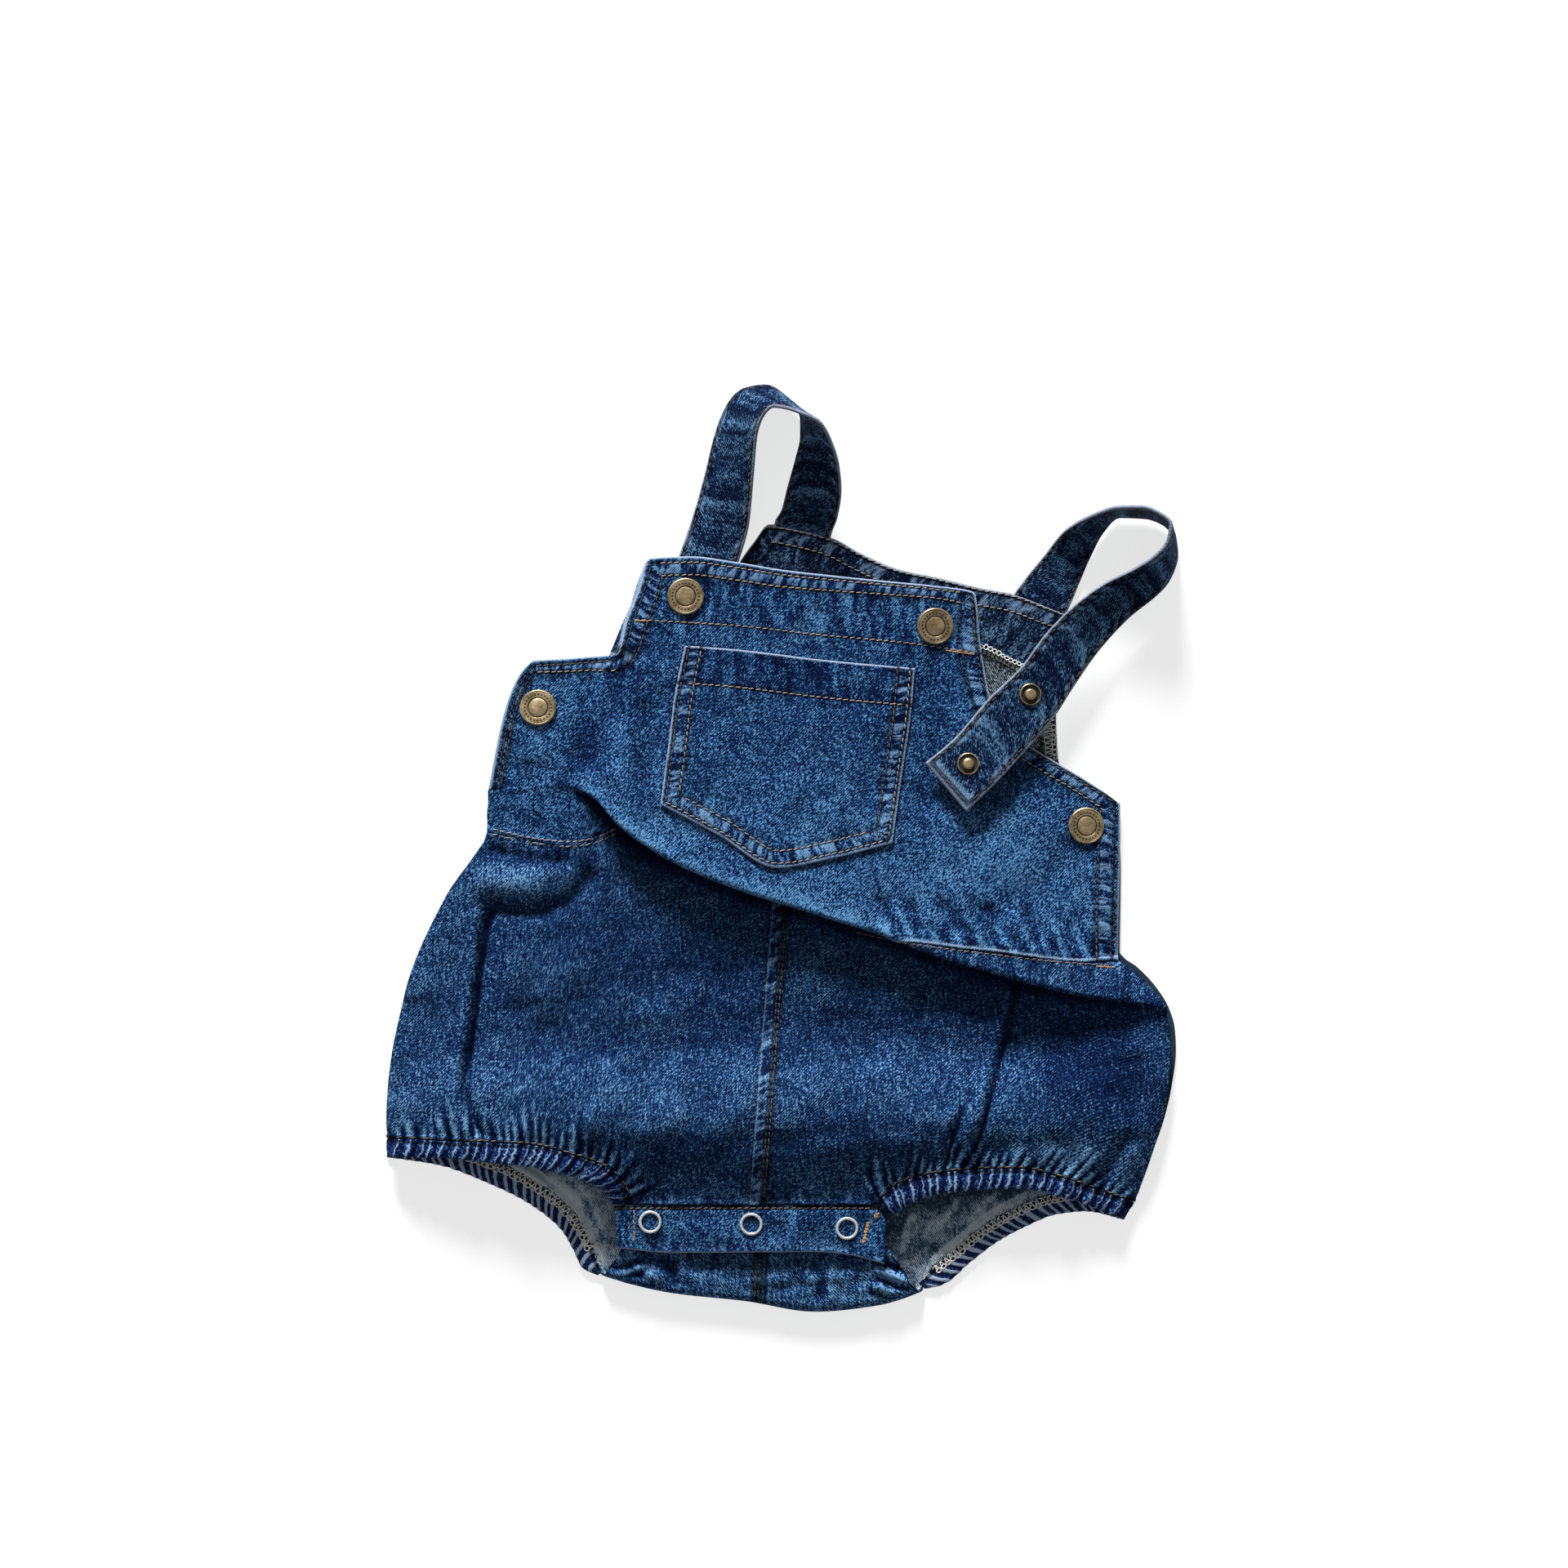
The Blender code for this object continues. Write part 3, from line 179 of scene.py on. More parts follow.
bodiceTop = (  # x, y, z, where its cloth meets the fold, first and second row of its hem
    (-103, 77.5, 2.3, -121.7, 2.4, 5), (-91, 78.2, 2.5, -108, 2.4, 5.4), (-80.9, 78.9, 2.8, -98, 2.4, 5.6),
    (-68.3, 80.2, 3.8, -86, 2.4, 7), (-63.2, 94.5, 5.2, -78, 2.3, 8.1), (-58.8, 106.4, 6.6, -72, 2.3, 8.2),
    (-54.1, 119.7, 7.6, -65, 2.4, 7.8), (-36.7, 120.4, 8.2, -47, 2.4, 7.6), (-19.7, 118.3, 8.4, -29, 2.3, 7.4),
    (0.7, 114.9, 8.4, -7, 2.1, 7), (24.5, 112.2, 8.2, 18, 1.8, 6.2), (48.3, 109.8, 7.8, 44, 1.5, 5.4),
    (65.3, 108.1, 6.8, 64, 1.4, 5), (80.3, 105.4, 5.6, 82, 1.6, 6.4), (82.6, 86, 5.8, 89, 1.9, 7.8),
    (84.7, 72.4, 6, 94, 1.9, 7.8), (87, 61.9, 6.2, 99, 1.9, 7.4), (94.2, 46.9, 5.8, 107, 1.6, 6.4),
    (103.7, 41.5, 5, 113.5, 1.4, 6), (116.3, 34, 4.2, 121.5, 1.4, 6), (129.9, 25.8, 3.2, 131.5, 1.6, 6.2),
    (141.1, 17.7, 2.6, 139.4, 2.4, 8),
)
leftWingEdge = ((-103, 77.5), (-108.1, 72.4), (-112.2, 63.9), (-115.6, 52), (-118.3, 38.4), (-120.8, 24.5))
rightWingEdge = ((141.1, 17.7), (140.7, -4), (140.1, -21.1), (139.4, -61))
leftPleat = ((-124, -123), (-106, -128.5), (-65, -125.8), (-18, -120.5))  # y, x
rightPleat = ((-130, 70), (-106, 87), (-82, 93.2), (-50, 98))  # y, x
casings = {  # inner x, y where it is sewn on and outer x, y, from the side to the crotch
    "front_left": (
        (-163.2, -121, -163.2, -128.6), (-142.1, -121.6, -142.1, -128.6), (-121.7, -122.3, -121.7, -130.4),
        (-104.7, -122.9, -106, -131.8), (-88, -126.8, -92, -134.5), (-73, -132.2, -80, -138.5),
        (-65.5, -139.5, -72.5, -142.8), (-62.5, -148.2, -70, -148.2),
    ),
    "front_right": (
        (146.8, -147.8, 142.8, -154.9), (130.5, -142.1, 128.4, -149), (116.3, -137, 115, -144.6),
        (98, -133.2, 98, -141.2), (80, -133.6, 81, -141.8), (60, -135.9, 63.5, -144),
        (48, -140, 53, -148), (40.2, -147.8, 46, -152.6),
    ),
    "back_left": (
        (-163.4, -121.4, -163.9, -129.2), (-140, -124.6, -142.1, -132.6), (-118, -131.4, -121.7, -140.1),
        (-100, -141, -104.7, -148.6), (-85.6, -153.6, -91.1, -159.8), (-79, -165.4, -86, -168.4),
        (-76.2, -172.8, -82.4, -175.4),
    ),
    "back_right": (
        (146.4, -147.6, 142.7, -155.2), (124.5, -143.9, 126.5, -151.8), (112, -145.4, 115, -153),
        (99, -150.2, 103, -157.6), (85, -157.8, 90, -164.6), (73, -167.4, 79, -172.9),
        (60.8, -178, 66.6, -182.6),
    ),
}
crotchFold = (  # x, y of the fold, length of cloth past it
    (-74.4, -177.6, 3), (-71, -178.8, 9.5), (-67.5, -179.8, 15.5), (-64, -180.9, 22), (-43.5, -185.3, 27),
    (-14.6, -188.4, 30), (14.3, -192.8, 34), (41.5, -190, 31), (47, -188.6, 24), (52.5, -186.8, 13),
    (58.6, -184.4, 3),
)
bandTop = ((-68.8, -148.9), (-11, -148.9), (39, -148.9))
bandFoot = ((-67.6, -166.4), (-45, -168.4), (14, -168), (29, -169.4), (43, -173))
bandRightEnd = ((39, -148.9), (43.6, -156), (43, -173))
backTop = (
    (-101, 75.5), (-80, 76.6), (-58, 77.6), (-41, 85), (-27, 100), (-18, 117), (-10.5, 127.6),
    (-4.6, 134.2), (10, 131.6), (21.1, 128.5), (34.7, 121.7), (48.3, 115.9), (65.3, 112.2), (82.3, 108.1),
    (97.6, 105.1), (110, 100.5), (120.6, 95.8), (116.8, 80), (114.6, 60), (115.6, 36), (120, 29.6),
    (130, 23.8), (140.2, 17.2),
)
backLeftEdge = ((-101, 75.5), (-110.6, 63.4), (-116.9, 38), (-120.6, 7.8))
backRightEdge = ((140.2, 17.2), (141.6, -10), (141.2, -44.4))
backWaist = ((-120.6, 7.8), (-1, -16), (141.2, -44.4))
facingTop = (
    (-12, 125), (-5, 133.3), (10, 131), (21.1, 127.9), (34.7, 121.1), (48.3, 115.3), (65.3, 111.6),
    (82.3, 107.5), (97.6, 104.5), (110, 99.9), (120, 95.6),
)
facingFoot = ((-19, 104), (10, 103), (34.7, 95), (60, 87), (84, 82), (99, 74.6), (113.6, 68))
pocketTop = ((-39.8, 83.3), (-20, 81.9), (20, 77.2), (55.6, 74))
pocketLeft = ((-39.8, 83.3), (-44, 62), (-46.4, 42), (-49.6, 17.6))
pocketRight = ((55.6, 74), (53.8, 54), (50, 28), (46.2, 1.6))
pocketFoot = ((-49.6, 17.6), (-26, 5), (-1.2, -8.6), (22, -4.6), (46.2, 1.6))
strapLeft = (  # upper edge x, y, z and lower edge x, y, z
    (-29.8, 86, 5.8, -53, 89.5, 5.2), (-23, 103, 5.8, -47.6, 106, 5.2),
    (-17.5, 118, 6, -42.6, 120, 4.8), (-12.9, 135, 8.4, -36.7, 137, 3),
    (-11.2, 154, 13.6, -31.3, 155.7, 1.6), (-9.8, 170, 17.8, -26.9, 172.7, 1),
    (-7.1, 177.8, 21, -22.1, 184, 0.95), (-2.7, 181.6, 23, -15.6, 190.4, 0.95),
    (1.9, 180.9, 24.4, -7, 191.9, 0.95), (9.2, 178.5, 25, 2, 187, 0.95),
    (15.3, 175.8, 25.2, 8.6, 178.6, 0.95), (20.6, 168, 21.2, 8.4, 170.4, 0.95),
    (24.1, 157.4, 16.4, 6.2, 161.2, 0.95), (25.2, 147.2, 10.4, 2.9, 150, 0.95),
    (23.6, 136.6, 4.4, 0, 139.4, 0.95), (21.6, 131.4, 1.1, -2.2, 135.9, 0.95),
    (20.2, 126.2, 0.8, -3.4, 130.8, 0.8),
)
strapRight = (
    (95.2, 102.4, 0.8, 117, 93.8, 0.8), (98.4, 107.2, 0.95, 119.6, 98.6, 0.95),
    (109.4, 121, 2.6, 124.8, 110.8, 0.95), (118.2, 131.6, 8.2, 129.4, 121.7, 0.95),
    (129.6, 137.6, 17, 134.2, 131.2, 0.95),
    (140.4, 140.3, 22.4, 141.4, 137.4, 0.95), (149, 140.2, 24.6, 151.4, 137, 0.95),
    (155.8, 137.6, 25.2, 158.8, 134.6, 0.95), (160.6, 133, 25.4, 163.6, 129.6, 1.2),
    (159.8, 127.4, 24.4, 164.6, 121.4, 3), (154.4, 120.6, 22.2, 160.8, 110, 5.6),
    (146.8, 115.6, 18.8, 155.2, 103.8, 6.6), (133.2, 108.8, 15.2, 145.2, 95.6, 7.2),
    (119.8, 98.6, 12.4, 131.8, 81, 7.8), (109.4, 87.8, 11.2, 121.6, 66.4, 8.4),
    (99.2, 74.2, 11.2, 113, 53.2, 9.4), (86.8, 62.2, 12.4, 99.4, 37.6, 12.2),
    (70.4, 43.6, 14.4, 89.2, 26.6, 15), (59.6, 34.8, 15.6, 76.6, 14.6, 17.2),
)

sizes = {
    "sideHeight": 2.2,  # the front cloth's middle where it is sewn to the back
    "sideRound": 20.0,
    "backHeight": 0.6,
    "frontRoll": 0.2,  # the front roll's share of the two radii of the fold
    "pleatDepth": 2.2, "pleatWidth": 5.0, "pleatFade": 14.0, "stepReach": 40.0,
    "crotchRadius": 2.4, "bandHeight": 8.2, "crotchSeam": -148.6,
    "centreTop": -1.0, "centreFront": -10.9, "centreBack": -9.5,
    "half": 0.5,  # half the thickness of one layer
}


# --- the middle surface of the cloth

yList, leftList, rightList = columnsOf(sideEdges)
sideLeft, sideRight = smoothCurve(yList, leftList), smoothCurve(yList, rightList)
puffRise = smoothCurve(*columnsOf(puff))
leftPleatX, rightPleatX = smoothCurve(*columnsOf(leftPleat)), smoothCurve(*columnsOf(rightPleat))
foldX, *foldColumns = columnsOf(foldTable)
foldFront, foldTurn, foldRun, foldDrop = [smoothCurve(foldX, column) for column in foldColumns]
seamPast = smoothCurve(*columnsOf(waistSeam))
topLine = smoothLine(bodiceTop)
topLength = stepsAlong(bodiceTop)[-1]
manyShares = np.linspace(0, 1, 2001)
manyFeet = topLine(manyShares)[:, 3]
leftEdgeLine, rightEdgeLine = smoothLine(leftWingEdge), smoothLine(rightWingEdge)


def pleatWindow(table, y):
    fade = sizes["pleatFade"]
    return eased((y - table[0][0]) / fade + 0.5) * eased((table[-1][0] - y) / fade + 0.5)


def puffedHeight(x, y):  # the front cloth where it lies in one layer
    left, right = sideLeft(y), sideRight(y)
    across = np.minimum(abs(x - (left + right) / 2) / ((right - left) / 2), 1.0)
    height = sizes["sideHeight"] + puffRise(y) * np.sqrt(1 - across ** 4)
    depth, width = sizes["pleatDepth"], sizes["pleatWidth"]
    height = height - depth * bell((x - leftPleatX(y)) / width) * pleatWindow(leftPleat, y)
    past = (x - rightPleatX(y)) / width
    low = eased(past + 0.5) * (1 - eased(past * width / sizes["stepReach"]))
    return height - depth * low * pleatWindow(rightPleat, y)


class Fold:  # the section of the front through its fold; q is the distance past the start of the roll
    def __init__(self, x):
        self.x = np.asarray(x, float)
        self.turn = np.radians(foldTurn(self.x))
        self.run, self.drop = foldRun(self.x), foldDrop(self.x)
        radii = (self.drop - self.run * np.sin(self.turn)) / (1 - np.cos(self.turn))
        self.front, self.hidden = radii * sizes["frontRoll"], radii * (1 - sizes["frontRoll"])
        self.startY = foldFront(self.x) + self.front * np.sin(np.minimum(self.turn, math.pi / 2))
        self.length = (self.front + self.hidden) * self.turn + self.run
        self.endY = self.startY - radii * np.sin(self.turn) - self.run * np.cos(self.turn)
        self.startZ = puffedHeight(self.x, self.endY) + self.drop

    def at(self, q):
        bend = np.clip(q / self.front, 0, self.turn)
        straight = np.clip(q - self.front * self.turn, 0, self.run)
        under = q - self.front * self.turn - self.run
        back = np.clip(self.turn - under / self.hidden, 0, self.turn)
        y = (self.startY - self.front * np.sin(bend) - straight * np.cos(self.turn)
             - self.hidden * (np.sin(self.turn) - np.sin(back)))
        z = (self.startZ - self.front * (1 - np.cos(bend)) - straight * np.sin(self.turn)
             - self.hidden * (np.cos(back) - np.cos(self.turn)))
        past = under - self.hidden * self.turn
        y = np.where(past > 0, self.endY - past, y)
        return y, np.where(past > 0, puffedHeight(self.x, y), z)


def sideRounded(x, y, z):
    inside = np.minimum(x - sideLeft(y), sideRight(y) - x)
    near = 1 - np.clip(inside / sizes["sideRound"], 0, 1)
    return sizes["sideHeight"] + (z - sizes["sideHeight"]) * np.sqrt(1 - near * near)


def patched(top, foot, left, right, u, v):  # x and y between two rows of points and two lines that join them
    def bow(line, k):
        return line(v)[..., k] - mixed(line(0.0)[k], line(1.0)[k], v)

    return [mixed(top[..., k], foot[..., k], v) + mixed(bow(left, k), bow(right, k), u) for k in (0, 1)]


def bodiceUpper(u, v):  # v is 0 at the top edge and 1 at the start of the roll
    top = topLine(u)
    fold = Fold(top[..., 3])
    x, y = patched(top, np.stack([fold.x, fold.startY], -1), leftEdgeLine, rightEdgeLine, u, v)
    return x, y, sideRounded(x, y, mixed(top[..., 2], fold.startZ, 0.55 * v + 0.45 * v ** 3))


def shareAbove(x):
    return np.interp(x, manyFeet, manyShares)


class Columns:  # lines down the front through its fold, below shares of the top edge or at given x
    def __init__(self, u=None, x=None):
        self.x = topLine(u)[..., 3] if x is None else np.asarray(x, float)
        self.u = shareAbove(self.x) if u is None else np.asarray(u, float)
        self.beyond = self.x > bodiceTop[-1][3] + 0.01
        self.fold = Fold(self.x)
        top = topLine(self.u)
        self.drape = np.hypot(top[..., 0] - self.x, top[..., 1] - self.fold.startY)
        self.seam = seamPast(self.x)

    def at(self, q):  # x, y, z and the height on the flat cut
        x = np.broadcast_to(self.x, q.shape)
        y, z = self.fold.at(np.maximum(q, 0))
        ux, uy, uz = bodiceUpper(np.broadcast_to(self.u, q.shape), np.clip(1 + q / self.drape, 0, 1))
        by = self.fold.startY - q
        bz = mixed(self.fold.startZ, sideRounded(x, by, self.fold.startZ), eased(-q / 6))
        above = q < 0
        beyond = above & self.beyond
        flat = np.where(above, uy, self.fold.startY - q)
        x = np.where(above & ~self.beyond, ux, x)
        y = np.where(beyond, by, np.where(above, uy, y))
        z = np.where(beyond, bz, np.where(above, uz, z))
        return x, y, z, np.where(beyond, by, flat)


search = {"rounds": 40, "nudge": 0.01, "step": 0.6, "last": 0.99}


def bodiceHeight(x, y):  # the bodice's middle under x, y, whose place on it is found step by step
    u, v = np.full(x.shape, 0.5), np.full(x.shape, 0.5)
    nudge, step = search["nudge"], search["step"]
    for _ in range(search["rounds"]):
        px, py, _z = bodiceUpper(u, v)
        ux, uy, _z = bodiceUpper(u + nudge, v)
        vx, vy, _z = bodiceUpper(u, v + nudge)
        a, b, c, d = [gap / nudge for gap in (ux - px, vx - px, uy - py, vy - py)]
        size = a * d - b * c
        u = np.clip(u + step * ((x - px) * d - (y - py) * b) / size, 0, search["last"])
        v = np.clip(v + step * ((y - py) * a - (x - px) * c) / size, 0, search["last"])
    return bodiceUpper(u, v)[2] + bodiceFolds(x, y)


# --- creases: depth, width, lip on its left (or right where negative), points

def creased(x, y, creases, fade=6.0):
    total = np.zeros(x.shape)
    for depth, width, lip, points in creases:
        line = sampled(points, 4 * len(points))
        low, high = line.min(axis=0) - 4 * width, line.max(axis=0) + 4 * width
        near = (x > low[0]) & (x < high[0]) & (y > low[1]) & (y < high[1])
        if not near.any():
            continue
        away, side, along = nearLine(x[near], y[near], line)
        whole = lineLength(line)
        ends = window(along, 0, whole, min(fade, whole * 0.45))
        form = -depth * bell(away / width)
        if lip:
            form = form + abs(lip) * bell((away * side * math.copysign(1, lip) - 2.2 * width) / (1.3 * width))
        total[near] += form * ends
    return total


bodiceCreases = (
    (2.6, 5.5, 1.0, ((-64, 84), (-68, 66), (-75, 47), (-83, 30))),
    (1.6, 4.0, 0.5, ((-86, 26), (-92, 20), (-96, 13))),
    (-1.4, 9.0, 0, ((-100, 60), (-103, 44), (-104, 32))),
    (-1.2, 4.0, 0, ((-94, 9), (-88, 6), (-81, 8))),
    (0.8, 5.0, 0, ((-118, 14), (-110, 11), (-103, 8))),
    (1.2, 6.0, 0.3, ((-56, 62), (-58, 36), (-54, 12), (-42, -2))),
    (0.9, 7.0, 0.3, ((70, 96), (66, 70), (64, 40), (60, 10))),
    (0.9, 5.0, 0, ((96, 40), (88, 22), (80, 2))),
    (1.0, 6.0, -0.4, ((134, 14), (118, -6), (98, -22), (70, -32))),
    (1.9, 3.4, 0.9, ((43, -34), (42, -27), (40, -18))),
    (1.8, 2.6, 0.9, ((56, -38), (55, -31), (52, -20))),
    (2.0, 2.8, 1.0, ((70.7, -40), (70, -33), (66, -20))),
    (2.1, 2.8, 1.0, ((89, -42), (88, -33), (85, -22))),
    (1.9, 2.8, 0.9, ((106, -44), (104, -34), (100, -22))),
    (1.6, 2.4, 0.8, ((122, -45), (120, -36), (118, -28))),
    (1.3, 2.2, 0.6, ((133, -45), (132, -38), (131, -32))),
    (1.2, 1.8, 0.6, ((63.4, -40), (63.0, -36), (61, -31))),
    (1.3, 1.8, 0.6, ((80, -42), (79.6, -37), (78, -32))),
    (1.2, 1.8, 0.6, ((97.5, -44), (97, -39), (96, -35))),
    (1.2, 1.8, 0.6, ((114, -45.5), (113, -41), (112, -37))),
)
pleatLines = (
    ((-119.3, -25), (-125.1, -57.1), (-128.2, -82.6), (-129.2, -102), (-127.2, -109.1), (-121.0, -120)),
    ((98.3, -55), (93.2, -80), (87, -103.4), (80.6, -124.4), (76.2, -133)),
    ((75.5, -106.8), (73.1, -116.3), (70, -126.8), (69, -133)),
)
bloomerCreases = (
    (2.6, 4.0, 0.4, ((-124, -24), (-115.3, -26), (-99.3, -26.5), (-88.4, -23.1), (-81.3, -16.3), (-78.2, -6.5))),
    (-2.6, 8.0, 0, ((-130, -15), (-112, -15), (-94, -14))),
    (1.6, 3.2, 0, ((-124, 0), (-110, -4), (-96, -6), (-84, -5))),
    (-1.2, 12.0, 0, ((-114, -44), (-90, -46), (-68, -42))),
    (3.0, 2.0, -2.0, ((-120.7, -24), (-124.1, -50), (-127.2, -77), (-130.6, -100), (-127.5, -112), (-124, -122))),
    (2.6, 2.0, -1.6, pleatLines[1]), (1.8, 2.2, -0.9, pleatLines[2]),
    (1.7, 2.6, 0.8, ((145, -117), (138, -129), (130.9, -141.5))),
    (1.0, 9.0, 0, ((-150, -60), (-146, -84), (-150, -108))),
    (0.9, 8.0, 0, ((-104, -62), (-100, -84), (-102, -104))),
    (1.0, 8.0, 0, ((-62, -70), (-58, -92), (-60, -118))),
    (0.9, 7.0, 0, ((-34, -60), (-34, -88), (-38, -120))),
    (0.9, 8.0, 0, ((30, -66), (28, -92), (22, -124))),
    (1.0, 7.0, 0, ((60, -74), (56, -98), (50, -122))),
    (0.9, 8.0, 0, ((118, -82), (118, -104), (112, -128))),
    (1.0, 7.0, 0, ((146, -84), (148, -100), (144, -116))),
)
# paler (or darker, where negative) places of the front bloomers, partly wash and partly painted light and shade:
# amount, half width, half height, x, y
bloomerPaintedLightAndWash = (
    (-0.16, 30, 13, -91, -36), (-0.14, 44, 20, -44, -48), (0.07, 40, 13, -44, -96), (0.06, 30, 15, 30, -92),
    (-0.14, 50, 16, 70, -66), (0.04, 16, 10, -104, -38), (0.04, 12, 30, -148, -80), (-0.32, 25, 24, 131, -92),
    (0.36, 22, 9, 119, -127), (-0.13, 70, 9, -10, -124), (-0.26, 24, 3.4, -98, -4.6), (0.12, 16, 6, -108, -14),
)
foldShade = (  # x, how far below the fold the painted shade reaches, and how dark it is
    (-88, 0, 0.2), (-84, 3, 0.7), (-77, 9, 0.8), (-62, 10, 0.8), (-48, 9, 0.6), (-20, 7, 0.42), (120, 7, 0.42),
    (152, 3, 0.2),
)


# painted shade: darker cloth just under the fold's front edge, easing off below it
def paintedFoldShade(x, y):
    below = foldFront(x) - y
    xs, reach, amount = columnsOf(foldShade)
    return -np.interp(x, xs, amount) * eased(1.15 - below / np.maximum(np.interp(x, xs, reach), 0.1))


def pleatShade(x, y):
    return -0.26 * sum(bell(nearLine(x, y, sampled(line, 24))[0] / 0.9) for line in pleatLines)


def bodiceFolds(x, y):
    calm = eased((y + 70) / 12)
    return creased(x, y, bodiceCreases) + 0.28 * wavy(x, y, 34, 3) * calm + 0.1 * wavy(x, y, 13, 4)


def bloomerFolds(x, y):
    middle = window(x, -150, 150, 30)
    return (creased(x, y, bloomerCreases) + 0.45 * wavy(x, y, 30, 5) + 0.16 * wavy(x, y, 12, 6)
            - 1.8 * middle * bell((y + 82) / 13))


bodicePaintedLightAndWash = (  # paler (or darker, where negative) places of the cloth, partly wash and partly painted light and shade: amount, half width, half height, x, y
    (0.18, 26, 18, 106, -12), (-0.06, 14, 14, -92, 34), (0.10, 6, 14, -73, 56),
    (0.2, 26, 9, -38, 6), (0.06, 26, 9, 4, -14), (0.08, 30, 12, 52, -18), (0.10, 16, 20, 88, 10),
    (0.08, 12, 16, -98, 44), (-0.12, 10, 26, -62, 76), (-0.04, 60, 14, 10, 106), (-0.2, 7, 14, -81, 40),
    (-0.12, 16, 5, -108, 12),
)


def paintedLightAndWash(x, y, rows=bodicePaintedLightAndWash):
    return sum(amount * bell(np.hypot((x - px) / wide, (y - py) / tall)) for amount, wide, tall, px, py in rows)


# --- meshes

def added(name, data):  # a new object of the scene
    made = bpy.data.objects.new(name, data)
    bpy.context.scene.collection.objects.link(made)
    return made


plainMarks = {"edge": 6.0, "seam": 0.0, "rope": 0.0, "fade": 0.0, "rowOne": 20.0, "rowTwo": 20.0, "along": 0.0,
              "hem": 0.0, "band": 0.0, "gather": 0.5, "crest": 0.0}


def gridNormals(p):
    across, down = np.gradient(p, axis=1), np.gradient(p, axis=0)
    normal = np.cross(across, down)
    return normal / np.maximum(np.linalg.norm(normal, axis=2, keepdims=True), 1e-9)


def quadsOf(grid):  # the faces between the rows of a grid
    return np.stack([grid[:-1, :-1], grid[:-1, 1:], grid[1:, 1:], grid[1:, :-1]], -1).reshape(-1, 4)


def clothPiece(name, middle, upper, lower, finishes, fabric, marks, replaced):
    # middle is rows of points; upper and lower are the distances to the two faces of the cloth
    rows, count = middle.shape[:2]
    normals = gridNormals(middle)
    turned = normals[..., 2].mean() < 0
    if turned:
        normals = -normals
    upper, lower = np.broadcast_to(upper, (rows, count)), np.broadcast_to(lower, (rows, count))
    points = np.concatenate([(middle + normals * upper[..., None]).reshape(-1, 3),
                             (middle - normals * lower[..., None]).reshape(-1, 3)]) + originShift
    points[:, 2] = np.maximum(points[:, 2], 0.0)
    index = np.arange(rows * count).reshape(rows, count)
    under = index + rows * count
    faces = [quadsOf(index), quadsOf(under)[:, ::-1]]
    rims = ((index[0, 1:], index[0, :-1], under[0, :-1], under[0, 1:]),
            (index[-1, :-1], index[-1, 1:], under[-1, 1:], under[-1, :-1]),
            (index[:-1, 0], index[1:, 0], under[1:, 0], under[:-1, 0]),
            (index[1:, -1], index[:-1, -1], under[:-1, -1], under[1:, -1]))
    faces += [np.stack(rim, -1) for rim in rims]
    kinds = np.concatenate([np.full(len(f), kind) for f, kind in zip(faces, (0, 1, 0, 0, 0, 0))])
    faces = np.concatenate(faces)
    if turned:
        faces = faces[:, ::-1]
    mesh = bpy.data.meshes.new(name)
    mesh.from_pydata((points * mm).tolist(), [], faces.tolist())
    layer = mesh.uv_layers.new(name="fabric")
    fabric = np.tile(fabric.reshape(-1, 2), (2, 1)) * mm
    layer.data.foreach_set("uv", fabric[faces.reshape(-1)].reshape(-1))
    for mark, values in (plainMarks | marks).items():
        values = np.tile(np.broadcast_to(values, (rows, count)).reshape(-1), 2)
        mesh.attributes.new(mark, "FLOAT", "POINT").data.foreach_set("value", values)
    for finish in finishes:
        mesh.materials.append(finish)
    if len(finishes) > 1:  # the second is for the lower face
        mesh.polygons.foreach_set("material_index", kinds)
    piece = added(name, mesh)
    mesh.shade_smooth()
    mesh.update()
    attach(piece, "root")
    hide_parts(replaced)
    return piece


def rounded(away, half, size=0.7):  # how far a face is from the middle of a cloth, round at its edge
    return half * np.sqrt(np.clip(1 - np.square(1 - np.clip(away / size, 0, 1)), 0, 1)) + 0.04


def hemForm(away, along, rowOne, rowTwo, seed):  # a turned hem: thicker, with its two rows drawn in
    form = 0.42 * eased((rowTwo + 1.0 - away) / 1.4)
    form = form - 0.26 * bell((away - rowOne) / 0.7) - 0.26 * bell((away - rowTwo) / 0.8)
    between = window(away, rowOne, rowTwo, 1.2)
    rope = np.sin(math.tau * (along + 0.5 * away) / 4.4 + 1.4 * wavy(along, along * 0, 19, seed))
    return form + 0.14 * between * rope


# --- finishes

class Wire:  # a socket that can be added to, multiplied and subtracted from
    def __init__(self, finish, socket):
        self.finish, self.socket = finish, socket

    def maths(self, operation, *others):
        return self.finish.node("ShaderNodeMath", {"operation": operation}, [self, *others])

    def __add__(self, other):
        return self.maths("ADD", other)

    def __mul__(self, other):
        return self.maths("MULTIPLY", other)

    def __sub__(self, other):
        return self.maths("SUBTRACT", other)

    def ramp(self, low, high, outLow=0.0, outHigh=1.0):
        smooth = {"interpolation_type": "SMOOTHSTEP"}
        return self.finish.node("ShaderNodeMapRange", smooth, [self, low, high, outLow, outHigh])


